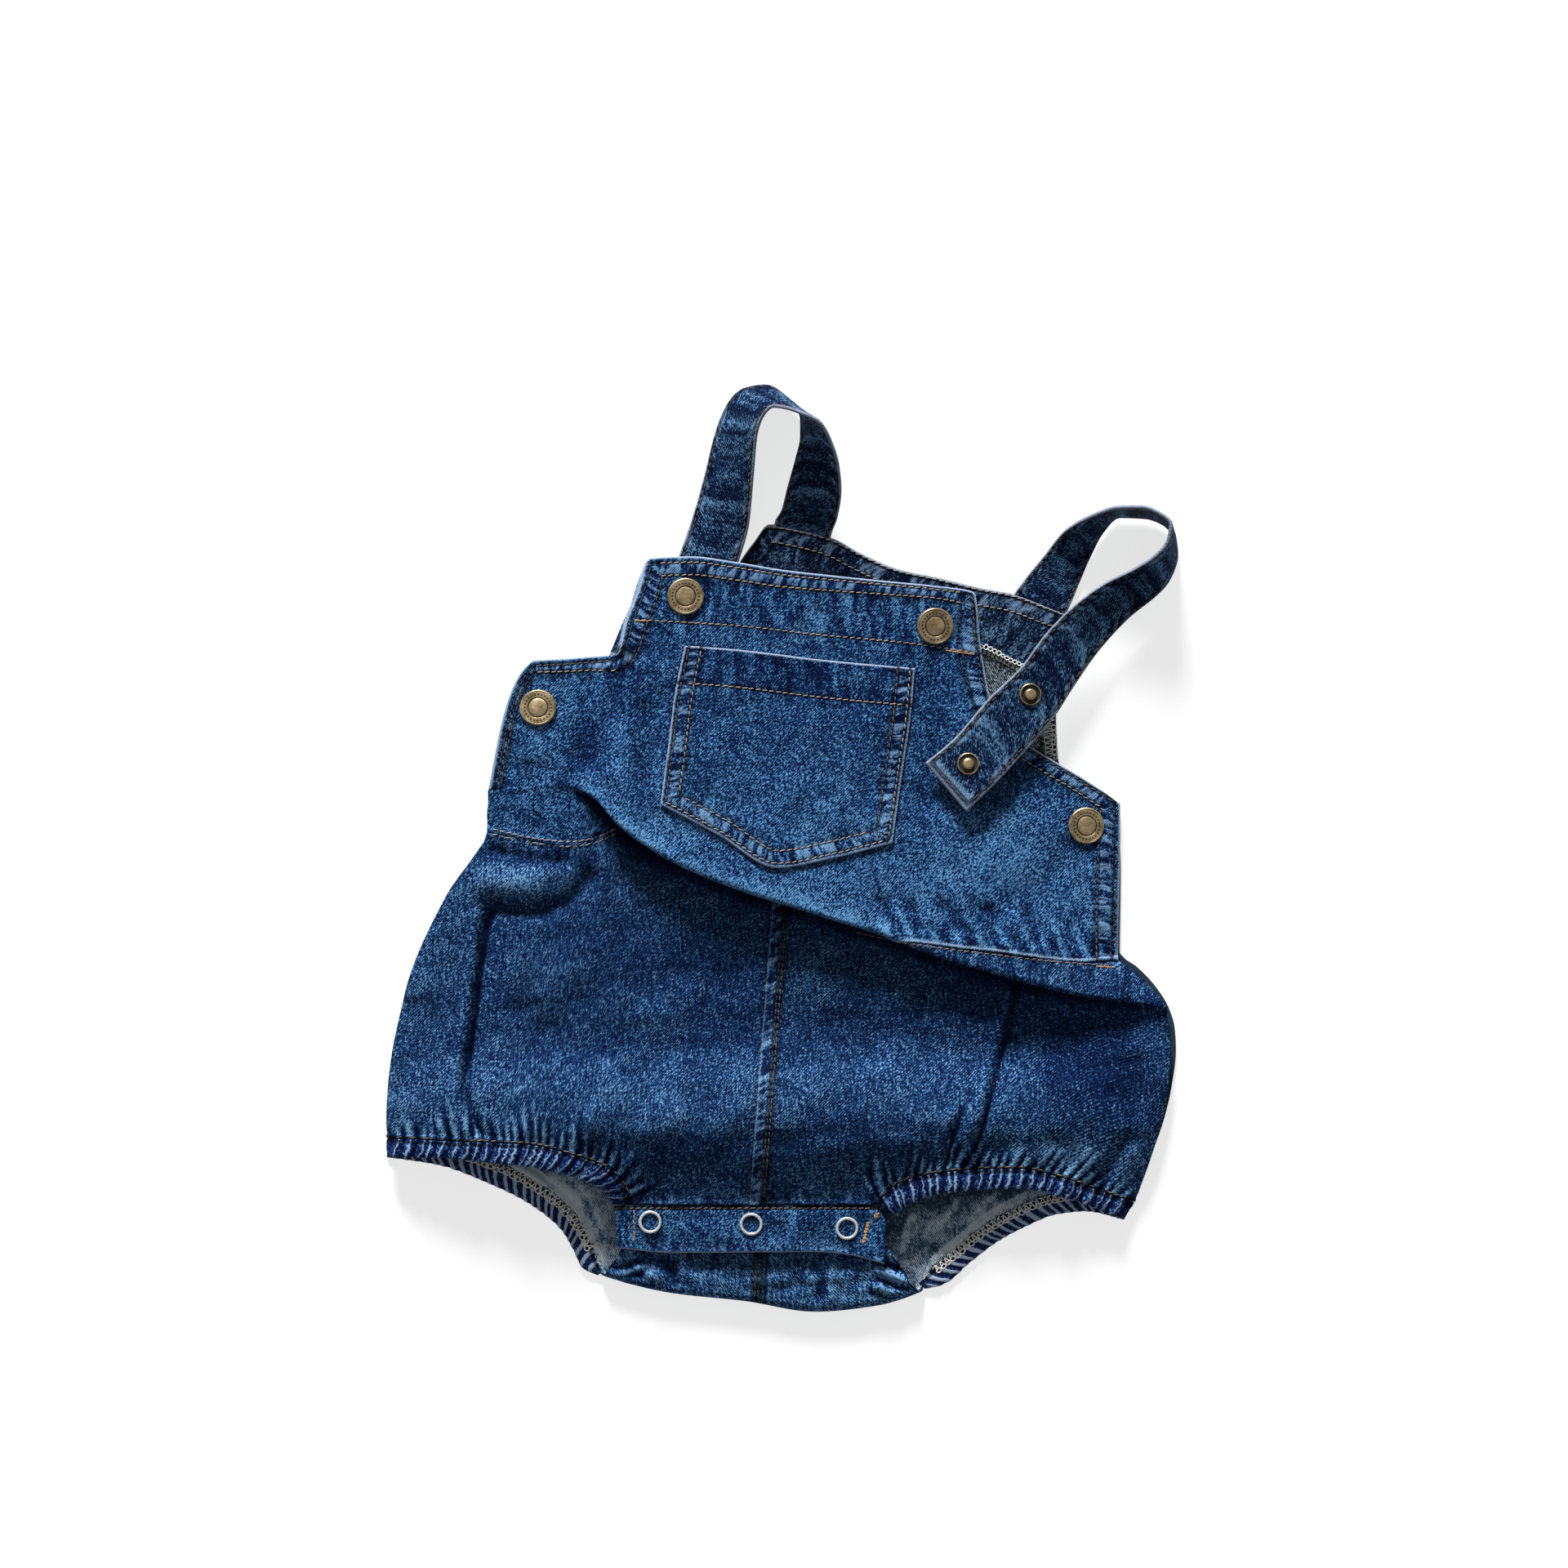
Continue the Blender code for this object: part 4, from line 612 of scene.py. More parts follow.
class Finish:
    def __init__(self, name, **constants):
        self.material = bpy.data.materials.new(name)
        self.material.use_nodes = True
        self.tree = self.material.node_tree
        self.shader = self.tree.nodes["Principled BSDF"]
        for socket, value in constants.items():
            self.shader.inputs[socket.replace("_", " ")].default_value = value

    def node(self, kind, settings, inputs, output=0):
        made = self.tree.nodes.new(kind)
        for key, value in settings.items():
            setattr(made, key, value)
        pairs = inputs.items() if isinstance(inputs, dict) else enumerate(inputs)
        for key, value in pairs:
            if isinstance(value, Wire):
                self.tree.links.new(value.socket, made.inputs[key])
            else:
                made.inputs[key].default_value = value
        return Wire(self, made.outputs[output])

    def feed(self, socket, wire):
        self.tree.links.new(wire.socket, self.shader.inputs[socket])

    def mark(self, name):
        return self.node("ShaderNodeAttribute", {"attribute_name": name}, {}, "Fac")

    def noise(self, vector, scale, detail=2.0, roughness=0.5):
        return self.node("ShaderNodeTexNoise", {}, {"Vector": vector, "Scale": scale, "Detail": detail,
                                                    "Roughness": roughness})

    def place(self):
        return self.node("ShaderNodeTexCoord", {}, {}, "Object")

    def point(self, x, y, z=0.0):
        return self.node("ShaderNodeCombineXYZ", {}, [x, y, z])

    def blend(self, share, a, b, kind="MIX"):
        return self.node("ShaderNodeMix", {"data_type": "RGBA", "blend_type": kind}, {0: share, 6: a, 7: b}, 2)

    def bump(self, height, distance, strength=1.0):
        return self.node("ShaderNodeBump", {}, {"Height": height, "Distance": distance, "Strength": strength})


def rgb(r, g, b):
    return (r, g, b, 1.0)


def denimFinish(name, look):
    finish = Finish(name, Sheen_Weight=look["sheen"], Sheen_Roughness=0.5, Specular_IOR_Level=0.04)
    fabric = finish.node("ShaderNodeUVMap", {"uv_map": "fabric"}, {})
    parts = finish.tree.nodes.new("ShaderNodeSeparateXYZ")
    finish.tree.links.new(fabric.socket, parts.inputs[0])
    x, y = Wire(finish, parts.outputs[0]) * 1000, Wire(finish, parts.outputs[1]) * 1000
    turn = math.radians(look["twillTurn"])
    along = x * math.cos(turn) + y * math.sin(turn)
    across = y * math.cos(turn) - x * math.sin(turn)
    loose = finish.noise(finish.point(x, y), 0.35, 2.0)
    patchy = finish.noise(finish.point(x, y, 7.0), 0.07, 2.0, 0.6)
    twill = ((across + loose * 0.5) * (math.tau / look["twillPitch"])).maths("SINE")
    twill = twill * patchy.ramp(0.35, 0.6, 0.35, 1.0)
    flecks = finish.noise(finish.point(along * 0.62, across * 1.75), 1.0, 2.0, 0.6)
    warps = finish.noise(finish.point(x * 1.5, y * 0.14), 1.0, 2.0, 0.6)
    grains = finish.noise(finish.point(x, y), 1.25, 2.0, 0.6)
    mottles = finish.noise(finish.point(x, y, 3.0), 0.42, 1.0)
    blotches = finish.noise(finish.point(x, y), 0.13, 2.0, 0.6)
    wash = finish.noise(finish.point(x, y), 0.022, 2.0, 0.5)

    edge, hem, crest = finish.mark("edge"), finish.mark("hem"), finish.mark("crest")
    run = finish.mark("along")
    streaks = finish.noise(finish.point(run * 0.42 + edge * 0.14, edge * 0.1), 1.0, 2.0, 0.6)
    bands = finish.noise(finish.point(x * 0.2, y * 0.05), 1.0, 2.0, 0.6)
    ridges = ((finish.mark("gather") + (loose - 0.5) * 0.3).maths("FRACT") - 0.5).maths("ABSOLUTE")

    tone = twill * look["twill"] + (flecks - 0.5) * look["fleck"] + (grains - 0.5) * look["grain"]
    tone = tone + (warps - 0.5) * look["warp"] + (mottles - 0.5) * look["mottle"] + (wash - 0.5) * look["wash"]
    tone = tone + (blotches - 0.5) * look["blotch"]
    tone = tone + (streaks - 0.5) * 3.5 * hem + (bands - 0.5) * 2.3 * finish.mark("band")
    # the fade mark holds wash and painted light and shade; gathers are paler on their crests (wear) and darker in
    # their gaps (painted shade)
    tone = tone + finish.mark("fade") + (ridges - 0.27) * look["pucker"] * crest + look["tone"]
    colour = finish.node("ShaderNodeValToRGB", {}, [tone])
    stops = colour.socket.node.color_ramp.elements
    stops[0].position, stops[0].color = 0.0, rgb(*look["navy"])
    stops[1].position, stops[1].color = 1.0, rgb(*look["pale"])
    for position, shade in ((0.45, "blue"), (0.75, "bright")):
        stops.new(position).color = rgb(*look[shade])

    crestLines = crest * ridges.ramp(look["lineFrom"], look["lineTo"]) * look["lines"]
    roped = (finish.mark("rope") * streaks.ramp(0.42, 0.62)).maths("MAXIMUM", crestLines)
    roped = (roped + (grains - 0.5) * 1.2 * roped).ramp(0.15, 0.85)
    colour = finish.blend(roped * look["roping"], colour, rgb(*look["crest"]))
    ragged = edge + (grains - 0.5) * 1.6
    colour = finish.blend(ragged.ramp(1.0, 0.3) * 0.8, colour, rgb(*look["worn"]))
    # painted shade: darker in a line along each stitch row and wherever the seam mark lies
    rowShade = finish.mark("rowOne").maths("ABSOLUTE").maths("MINIMUM", finish.mark("rowTwo").maths("ABSOLUTE"))
    shade = (finish.mark("seam") * -0.8 + 1.0) * rowShade.ramp(0.35, 1.1, 0.2, 1.0)
    colour = finish.blend(1.0, colour, finish.point(shade, shade, shade), "MULTIPLY")
    finish.feed("Base Color", colour)
    finish.feed("Roughness", grains.ramp(0.3, 0.7, 0.8, 0.95))
    height = twill * 0.25 + grains * 0.8 + flecks * 0.7 + warps * 0.3 + streaks * hem * 2.0
    finish.feed("Normal", finish.bump(height, look["bump"] * mm, 0.8))
    return finish.material


denimLook = {
    "navy": (0.0008, 0.0028, 0.018), "blue": (0.0034, 0.0195, 0.076), "bright": (0.0150, 0.075, 0.198),
    "pale": (0.100, 0.240, 0.425), "worn": (0.30, 0.38, 0.50), "crest": (0.17, 0.27, 0.42), "roping": 0.42,
    "pucker": 2.6, "lines": 0.3, "lineFrom": 0.41, "lineTo": 0.475,
    "twillTurn": 47.0, "twillPitch": 0.8, "twill": 0.18, "fleck": 3.2, "grain": 2.5, "mottle": 0.65, "warp": 0.9,
    "blotch": 0.75, "wash": 0.4, "tone": 0.495, "sheen": 0.0, "bump": 0.25,
}
bloomerLook = dict(denimLook, bright=(0.019, 0.072, 0.174), pale=(0.125, 0.25, 0.40), roping=0.6, fleck=2.6,
                   grain=2.0, mottle=0.5, warp=1.2, blotch=0.5, tone=0.49)
insideLook = dict(denimLook, navy=(0.004, 0.007, 0.011), blue=(0.020, 0.030, 0.042), bright=(0.07, 0.095, 0.12),
                  pale=(0.25, 0.30, 0.33), worn=(0.45, 0.47, 0.50), twillTurn=-60.0, twillPitch=0.75, twill=0.4,
                  tone=0.55)
# the inside look made paler for the cloth seen inside the leg openings: partly the pale back of the denim, partly
# painted light against the front's shade there
legLightenedLook = dict(insideLook, navy=(0.022, 0.038, 0.060), blue=(0.075, 0.135, 0.23), bright=(0.20, 0.32, 0.46),
               pale=(0.50, 0.57, 0.62), twillPitch=0.7, twill=0.6, fleck=2.4, grain=1.8, blotch=1.9, mottle=1.2,
               tone=0.50)
pocketLook = dict(denimLook, worn=(0.27, 0.33, 0.44), tone=0.505)
strapLook = dict(denimLook, blue=(0.004, 0.014, 0.042), bright=(0.019, 0.058, 0.128), pale=(0.09, 0.19, 0.32),
                 worn=(0.22, 0.26, 0.33), roping=0.75, twill=0.3, warp=0.4, blotch=1.1, tone=0.40)
facingLook = dict(denimLook, navy=(0.0008, 0.003, 0.013), blue=(0.003, 0.0105, 0.034), bright=(0.015, 0.042, 0.095),
                  pale=(0.10, 0.18, 0.29), warp=1.3, blotch=0.9, tone=0.42)
casingLook = dict(denimLook, navy=(0.0016, 0.004, 0.034), blue=(0.005, 0.018, 0.090), bright=(0.02, 0.07, 0.2),
                  crest=(0.22, 0.31, 0.46), roping=0.95, lines=1.3, pucker=1.2, lineFrom=0.44, lineTo=0.485)
# the casing look made paler: painted light for the back casings, which lie in the front panel's shade
backCasingLightenedLook = dict(casingLook, navy=(0.003, 0.008, 0.040), blue=(0.012, 0.032, 0.120), bright=(0.05, 0.11, 0.24),
                      crest=(0.36, 0.46, 0.60), lineFrom=0.24, lineTo=0.38)


def threadFinish(name, colour, spread):
    finish = Finish(name, Sheen_Weight=0.2, Specular_IOR_Level=0.35)
    grains, dirt = finish.noise(finish.place(), 900.0), finish.noise(finish.place(), 60.0)
    share = (grains * 0.6 + dirt * 0.4).ramp(0.3, 0.68)
    finish.feed("Base Color", finish.blend(share, rgb(*[c * (1 - spread) for c in colour]), rgb(*colour)))
    finish.feed("Roughness", grains.ramp(0.3, 0.7, 0.55, 0.8))
    finish.feed("Normal", finish.bump(grains, 0.12 * mm))
    return finish.material


def metalFinish(name, look):
    finish = Finish(name, Specular_IOR_Level=0.5)
    tarnish, grit = finish.noise(finish.place(), 260.0, 3.0, 0.6), finish.noise(finish.place(), 1400.0, 2.0, 0.6)
    groove = finish.mark("groove")
    share = (tarnish * 0.7 + grit * 0.3).ramp(0.34, 0.66)
    colour = finish.blend(share, rgb(*look["dark"]), rgb(*look["bright"]))
    # the groove mark turns it towards the dirt colour: dirt in the grooves, painted shade at the foot of each part and
    # the print of a cap's dots
    colour = finish.blend(groove, colour, rgb(*look["dirt"]))
    finish.feed("Base Color", colour)
    finish.feed("Metallic", groove.ramp(0.0, 1.0, look["metal"], 0.3))
    finish.feed("Roughness", (tarnish * 0.5 + groove * 0.4).ramp(0.1, 0.8, *look["rough"]))
    finish.feed("Normal", finish.bump(grit * 0.6 + tarnish, look["bump"] * mm))
    return finish.material


denim, insideDenim, bloomerDenim, legLightenedDenim, pocketDenim, strapDenim, facingDenim, casingDenim, backCasingLightenedDenim = [
    denimFinish(f"Denim_{name}", look) for name, look in (
        ("outside", denimLook), ("inside", insideLook), ("bloomers", bloomerLook), ("inside_legs", legLightenedLook),
        ("pocket", pocketLook), ("strap", strapLook), ("facing", facingLook), ("casing", casingLook),
        ("casing_back", backCasingLightenedLook))]
brass = metalFinish("Antique_brass", {
    "dark": (0.22, 0.158, 0.082), "bright": (0.50, 0.385, 0.22), "dirt": (0.014, 0.010, 0.007),
    "metal": 0.75, "rough": (0.36, 0.6), "bump": 0.03,
})
nickel = metalFinish("Nickel", {
    "dark": (0.76, 0.77, 0.79), "bright": (0.93, 0.94, 0.95), "dirt": (0.25, 0.25, 0.26),
    "metal": 0.6, "rough": (0.2, 0.4), "bump": 0.01,
})
threads = {name: threadFinish(f"Thread_{name}", colour, 0.2 if name == "cream" else 0.5) for name, colour in (
    ("tan", (0.33, 0.265, 0.235)), ("orange", (0.46, 0.245, 0.12)), ("brown", (0.085, 0.066, 0.062)),
    ("rust", (0.20, 0.128, 0.088)), ("navy", (0.016, 0.020, 0.038)), ("cream", (0.86, 0.85, 0.78)))}
print("finishes ready")


# --- front bodice: bib and wings in one panel, rolled over in the fold

bodice = {
    "columns": 1.15, "upperStep": 1.45, "foldRows": 34, "drop": 130, "cut": (0.262, 0.175), "area": 0.0315,
    "close": (0, 0.25, 0.7, 1.3, 1.9, 2.5, 3.2, 4, 5, 6, 7, 7.8, 8.6, 9.6),  # rows near the top edge
    "band": (-62, 84),  # x of the two ends of the facing's row
}
# the hem round the bodice, from the foot of one wing to the other: x, y, first and second row
hemTable = ([(x, y, 2.4, 4.4) for x, y in leftWingEdge[:0:-1]] + [(r[0], r[1], r[4], r[5]) for r in bodiceTop]
            + [(x, y, 2.7, 8.8) for x, y in rightWingEdge[1:]])
hemLine, hemPoints = smoothLine(hemTable), sampled(hemTable, 360)
hemLength = lineLength(hemPoints)


def ropeMark(away, rowOne, rowTwo):  # the cloth between two rows of stitches
    return window(away, rowOne - 0.6, rowTwo + 0.6, 1.0)


facingRow = ((-60.9, 94.2), (-19.7, 91.8), (14.3, 88.1), (57.1, 84.0), (82.3, 80.2))


def gatherWave(length, spacing, seed):  # an uneven row of ridges, as curves of the length along it
    rng = np.random.default_rng(seed)
    count = max(int(round(length / spacing)), 2)
    steps = rng.uniform(0.68, 1.36, count)
    places = np.concatenate([[0.0], np.cumsum(steps)])
    places *= length / places[-1]
    phase = smoothCurve(places, np.arange(count + 1))
    strength = smoothCurve(places, rng.uniform(0.55, 1.2, count + 1))
    reach = smoothCurve(places, rng.choice([0.3, 0.55, 0.9, 1.5], count + 1))
    return lambda s: (phase(s), strength(s), reach(s))


waist = {"from": 24, "length": 116}  # where the waist seam shows under the bodice, along x
waistGathers = gatherWave(waist["length"], 8.0, 75)


def paintedSeamPleats(x, toSeam):  # pleats running up the bodice from its waist seam, painted in its colour: paler ridges, partly wear and partly painted light, and darker gaps of painted shade
    past = x - waist["from"]
    phase, strength, reach = waistGathers(np.clip(past, 0, waist["length"]))
    slant = phase + 0.05 * toSeam
    strong = strength * eased(1 - toSeam / (17 * reach + 6)) * eased(past / 8) * eased((toSeam - 0.5) / 1.5)
    return strong * (3.4 * (0.5 + 0.5 * np.cos(math.tau * slant)) ** 3 - 1.3)


def makeBodice():
    u = fromEdges(topLength, bodice["columns"]) / topLength
    columns = Columns(u=u)
    end = columns.seam
    close = np.array(bodice["close"])[:, None]
    breakAt = np.minimum(0.0, end - 9.0)  # where the even rows change their step, above the roll and the seam
    start = -columns.drape
    count = int(round(bodice["drop"] / bodice["upperStep"]))
    upper = mixed(start + close[-1], breakAt, np.linspace(0, 1, count + 1)[1:, None])
    lower = mixed(breakAt, end, np.linspace(0, 1, bodice["foldRows"] + 1)[1:, None])
    q = np.concatenate([start + close, upper, lower])
    x, y, z, flat = columns.at(q)
    free = eased(-q / 14)
    z = z + bodiceFolds(x, y) * np.where(q < 0, mixed(0.35, 1, free), 0.35 * eased(1 + q / 8))
    away, _side, along = nearLine(x, y, hemPoints)
    away = np.where(q > 0, 30.0, away)
    _x, _y, rowOne, rowTwo = np.moveaxis(hemLine(along / hemLength), -1, 0)
    form = hemForm(away, along, rowOne, rowTwo, 11)
    toSeam = end - q
    form = form + 0.35 * eased((2.6 - toSeam) / 1.2)
    thick = rounded(np.minimum(away, toSeam + 0.3), sizes["half"])
    rope = ropeMark(away, rowOne, rowTwo)
    above = y - np.interp(x, *columnsOf(facingRow))
    left, right = bodice["band"]
    inBand = eased(above / 2) * window(x, left, right, 5)
    belowBand = eased(-above / 1.5) * eased((above + 9) / 8) * window(x, left, right, 5)
    seamNear = eased(1 - toSeam / 9) * eased((x - 20) / 8)
    onRow = np.where((x > left) & (x < right), abs(above), 20.0)
    # painted highlight, partly wear: paler along the roll of the fold. The fade sum also holds painted shade: fold
    # creases darker and ridges paler (partly wear), pleats from the waist seam painted pale and dark, and darker cloth
    # just under the fold's edge.
    rolled = eased(1 - abs(q - 1) / 8) * eased((q + 12) / 6) * eased((x + 84) / 8)
    fade = (paintedLightAndWash(x, y) + 0.38 * rolled + 0.07 * np.where(q < 0, bodiceFolds(x, y), 0)
            + 0.23 * paintedSeamPleats(x, toSeam) + np.where(q > 0.6 * columns.fold.length, paintedFoldShade(x, y), 0))
    ridge = 0.35 + abs(toSeam - 0.9) + 6 * eased((waist["from"] - x) / 6)
    pastHem = away - rowTwo
    # painted shade: the seam mark is a dark line at the foot of the hem's raised edge and, on the right, of the waist
    # seam's ridge
    seam = np.maximum(0.6 * bell((pastHem - 1.5) / 0.6), 0.7 * bell((toSeam - 2.4) / 0.5) * (x > 20))
    marks = {"edge": np.minimum(np.minimum(away, ridge), 6.0), "rope": rope * 0.9, "seam": seam, "fade": fade,
             "along": along, "hem": np.maximum(rope, 0.5 * eased(1 - pastHem / 7)),
             "band": np.maximum(inBand * eased((away - 3) / 3), 0.8 * np.maximum(belowBand, seamNear)),
             "rowOne": away - rowOne, "rowTwo": np.minimum(abs(pastHem), onRow)}
    return clothPiece("bodice_front", np.stack([x, y, z], -1), thick + form, thick, [denim, insideDenim],
                      np.stack([x, flat], -1), marks, "front_bodice")


bodicePiece = makeBodice()
print("bodice done")


# --- leg casings and the gathers that they send up the panels

gathers = {"spacing": 4.3, "height": 0.65, "puckerHeight": 1.5, "longest": 14.0, "lean": 0.045, "leanRight": 0.1}
casingLines = {side: smoothLine(table) for side, table in casings.items()}  # measured along their inner edges
casingLengths = {side: lineLength(table) for side, table in casings.items()}
gatherLines = {side: gatherWave(length, gathers["spacing"], 40 + i)
               for i, (side, length) in enumerate(casingLengths.items())}


def innerEdge(side, start=0, end=1):
    return casingLines[side](np.linspace(start, end, 90))[:, :2]


def puckers(side, x, y):  # gathers that run up a panel from its casing: which one, and how strong at x, y
    away, _side, along = nearLine(x, y, innerEdge(side))
    phase, strength, reach = gatherLines[side](along)
    lean = gathers["leanRight" if side == "front_right" else "lean"]
    strong = window(along, 0, casingLengths[side], 5) * strength
    return phase + lean * away, strong * eased(1 - away / (gathers["longest"] * reach + 3))


def puckered(side, x, y):
    phase, strong = puckers(side, x, y)
    return gathers["puckerHeight"] * (2 * np.abs(np.cos(math.pi * phase)) ** 0.6 - 1) * strong


casing = {
    "step": 0.55, "close": (0.0, 0.3, 0.8), "rows": (0.0, 0.05, 0.12, 0.2, 0.3, 0.42, 0.55, 0.68, 0.8, 0.9, 0.96, 1.0),
    "slants": {"front_left": 0.35, "front_right": -0.3, "back_left": -0.5, "back_right": 0.5},
    # the back ones run on to the fold of the crotch
    "tails": {"back_left": (-73.0, -176.2, -76.2, -178.4), "back_right": (57.2, -181.2, 60.0, -184.0)},
    "wave": {"front": 0.04, "back": 0.02},  # how far the gathers push the outer edge in and out, as a share
}


def makeCasing(side):
    table = casings[side] + ((casing["tails"][side],) if side in casing["tails"] else ())
    whole = lineLength(table)
    along = fromEdges(whole, casing["step"], casing["close"])
    across = np.array(casing["rows"])[:, None]
    ends = smoothLine(table)(along / whole)[None]
    width = np.hypot(ends[..., 2] - ends[..., 0], ends[..., 3] - ends[..., 1])
    place = np.clip(along[None] + casing["slants"][side] * across ** 2 * width, 0, whole)
    phase, strength, _reach = gatherLines[side](place)
    phase = phase + np.maximum(place - casingLengths[side], 0) / gathers["spacing"]
    wave = np.cos(math.tau * phase) * strength
    calm = window(along, 0, whole, 4)
    reach = across * (1 + casing["wave"][side.split("_")[0]] * wave * calm)
    x = mixed(ends[..., 0], ends[..., 2], reach)
    y = mixed(ends[..., 1], ends[..., 3], reach)
    body = np.sin(math.pi * np.clip(across * 0.96 + 0.04, 0, 1)) ** 0.3
    ridge = gathers["height"] * calm * np.maximum(0.5 + 0.5 * wave, 0) ** 1.2 * body
    upper = 0.35 + 0.75 * body * mixed(0.6, 1, calm) + ridge - 0.3 * bell((across - 0.07) / 0.06)
    if side.startswith("back"):
        face, level = backCasingLightenedDenim, np.full(x.shape, sizes["backHeight"])
        lower = level
    else:
        foot = smoothLine(table)(place / whole)
        panel = foot[..., 0], foot[..., 1]
        face, level = casingDenim, puffedHeight(*panel) + bloomerFolds(*panel) + puckered(side, *panel)
        lower = 0.35 + 0.7 * body * mixed(0.6, 1, calm)
    points = np.stack([x, y, level], -1)
    fabric = np.stack([np.broadcast_to(along * 1.25, x.shape) + across * 2, across * width], -1)
    marks = {"edge": np.minimum((1 - across) * width * 1.6 + 0.9, 6) + along * 0, "gather": phase,
             "crest": np.clip(strength * mixed(0.7, 1, body), 0, 1) * calm, "rowOne": across * width - 1.0,
             "fade": -0.22}
    return clothPiece(f"casing_{side}", points, upper, lower, [face, casingDenim], fabric, marks,
                      f"leg_casing_{side}")


casingPieces = {side: makeCasing(side) for side in casings}
print("leg casings done")


# --- front of the bloomers

bloomer = {
    "step": 0.85, "rows": 1.3, "drop": 115, "foldRows": 34, "areas": {"left": 0.0202, "right": 0.0208},
    "close": (7.0, 5.4, 4.0, 2.8, 1.8, 1.0, 0.4, 0),  # rows near the casing
    "sideX": {"left": -121.7, "right": 160.6},  # where the waist seam ends
    "seamRows": (2.6, 3.9),  # the two rows of the centre seam, to the right of its join
    "casingRow": 0.9, "gap": 0.3,  # from the casing's edge to its row and to the panel
    "cut": (0.165, 0.175),
}
centreLine = np.array([(sizes["centreTop"], -20.0), (sizes["centreFront"], sizes["crotchSeam"])])


def panelFoot(table, t, turn):  # the lower edge, from the centre seam to the side
    centreFoot, corner = sizes["centreFront"], casings[table][-1][0]
    crotch = abs(corner - centreFoot)
    whole = crotch + casingLengths[table]

    def edge(share):
        far = casingLines[table]((1 - share) * whole / (whole - crotch))
        onCrotch = share * whole < crotch
        x = np.where(onCrotch, mixed(centreFoot, corner, share * whole / crotch), far[..., 0])
        return np.stack([x, np.where(onCrotch, sizes["crotchSeam"], far[..., 1])], -1)

    here, before, after = edge(t), edge(np.maximum(t - 0.004, 0)), edge(np.minimum(t + 0.004, 1))
    way = after - before
    size, gap = np.hypot(way[..., 0], way[..., 1]), bloomer["gap"] * turn
    return here[..., 0] - way[..., 1] / size * gap, here[..., 1] + way[..., 0] / size * gap


def gathered(x, start, length, spacing, seed, down):  # short ridges below the waist seam, from x = start
    phase, strength, reach = gatherWave(length, spacing, seed)(np.clip(x - start, 0, length))
    return np.cos(math.tau * phase) * strength * eased(1 - down / (6 * reach + 3))


def sideBow(side, start, end, v):  # how far a side edge bows out from a straight line, from one y to another
    edge = sideLeft if side == "left" else sideRight
    return edge(mixed(start, end, v)) - mixed(edge(start), edge(end), v)


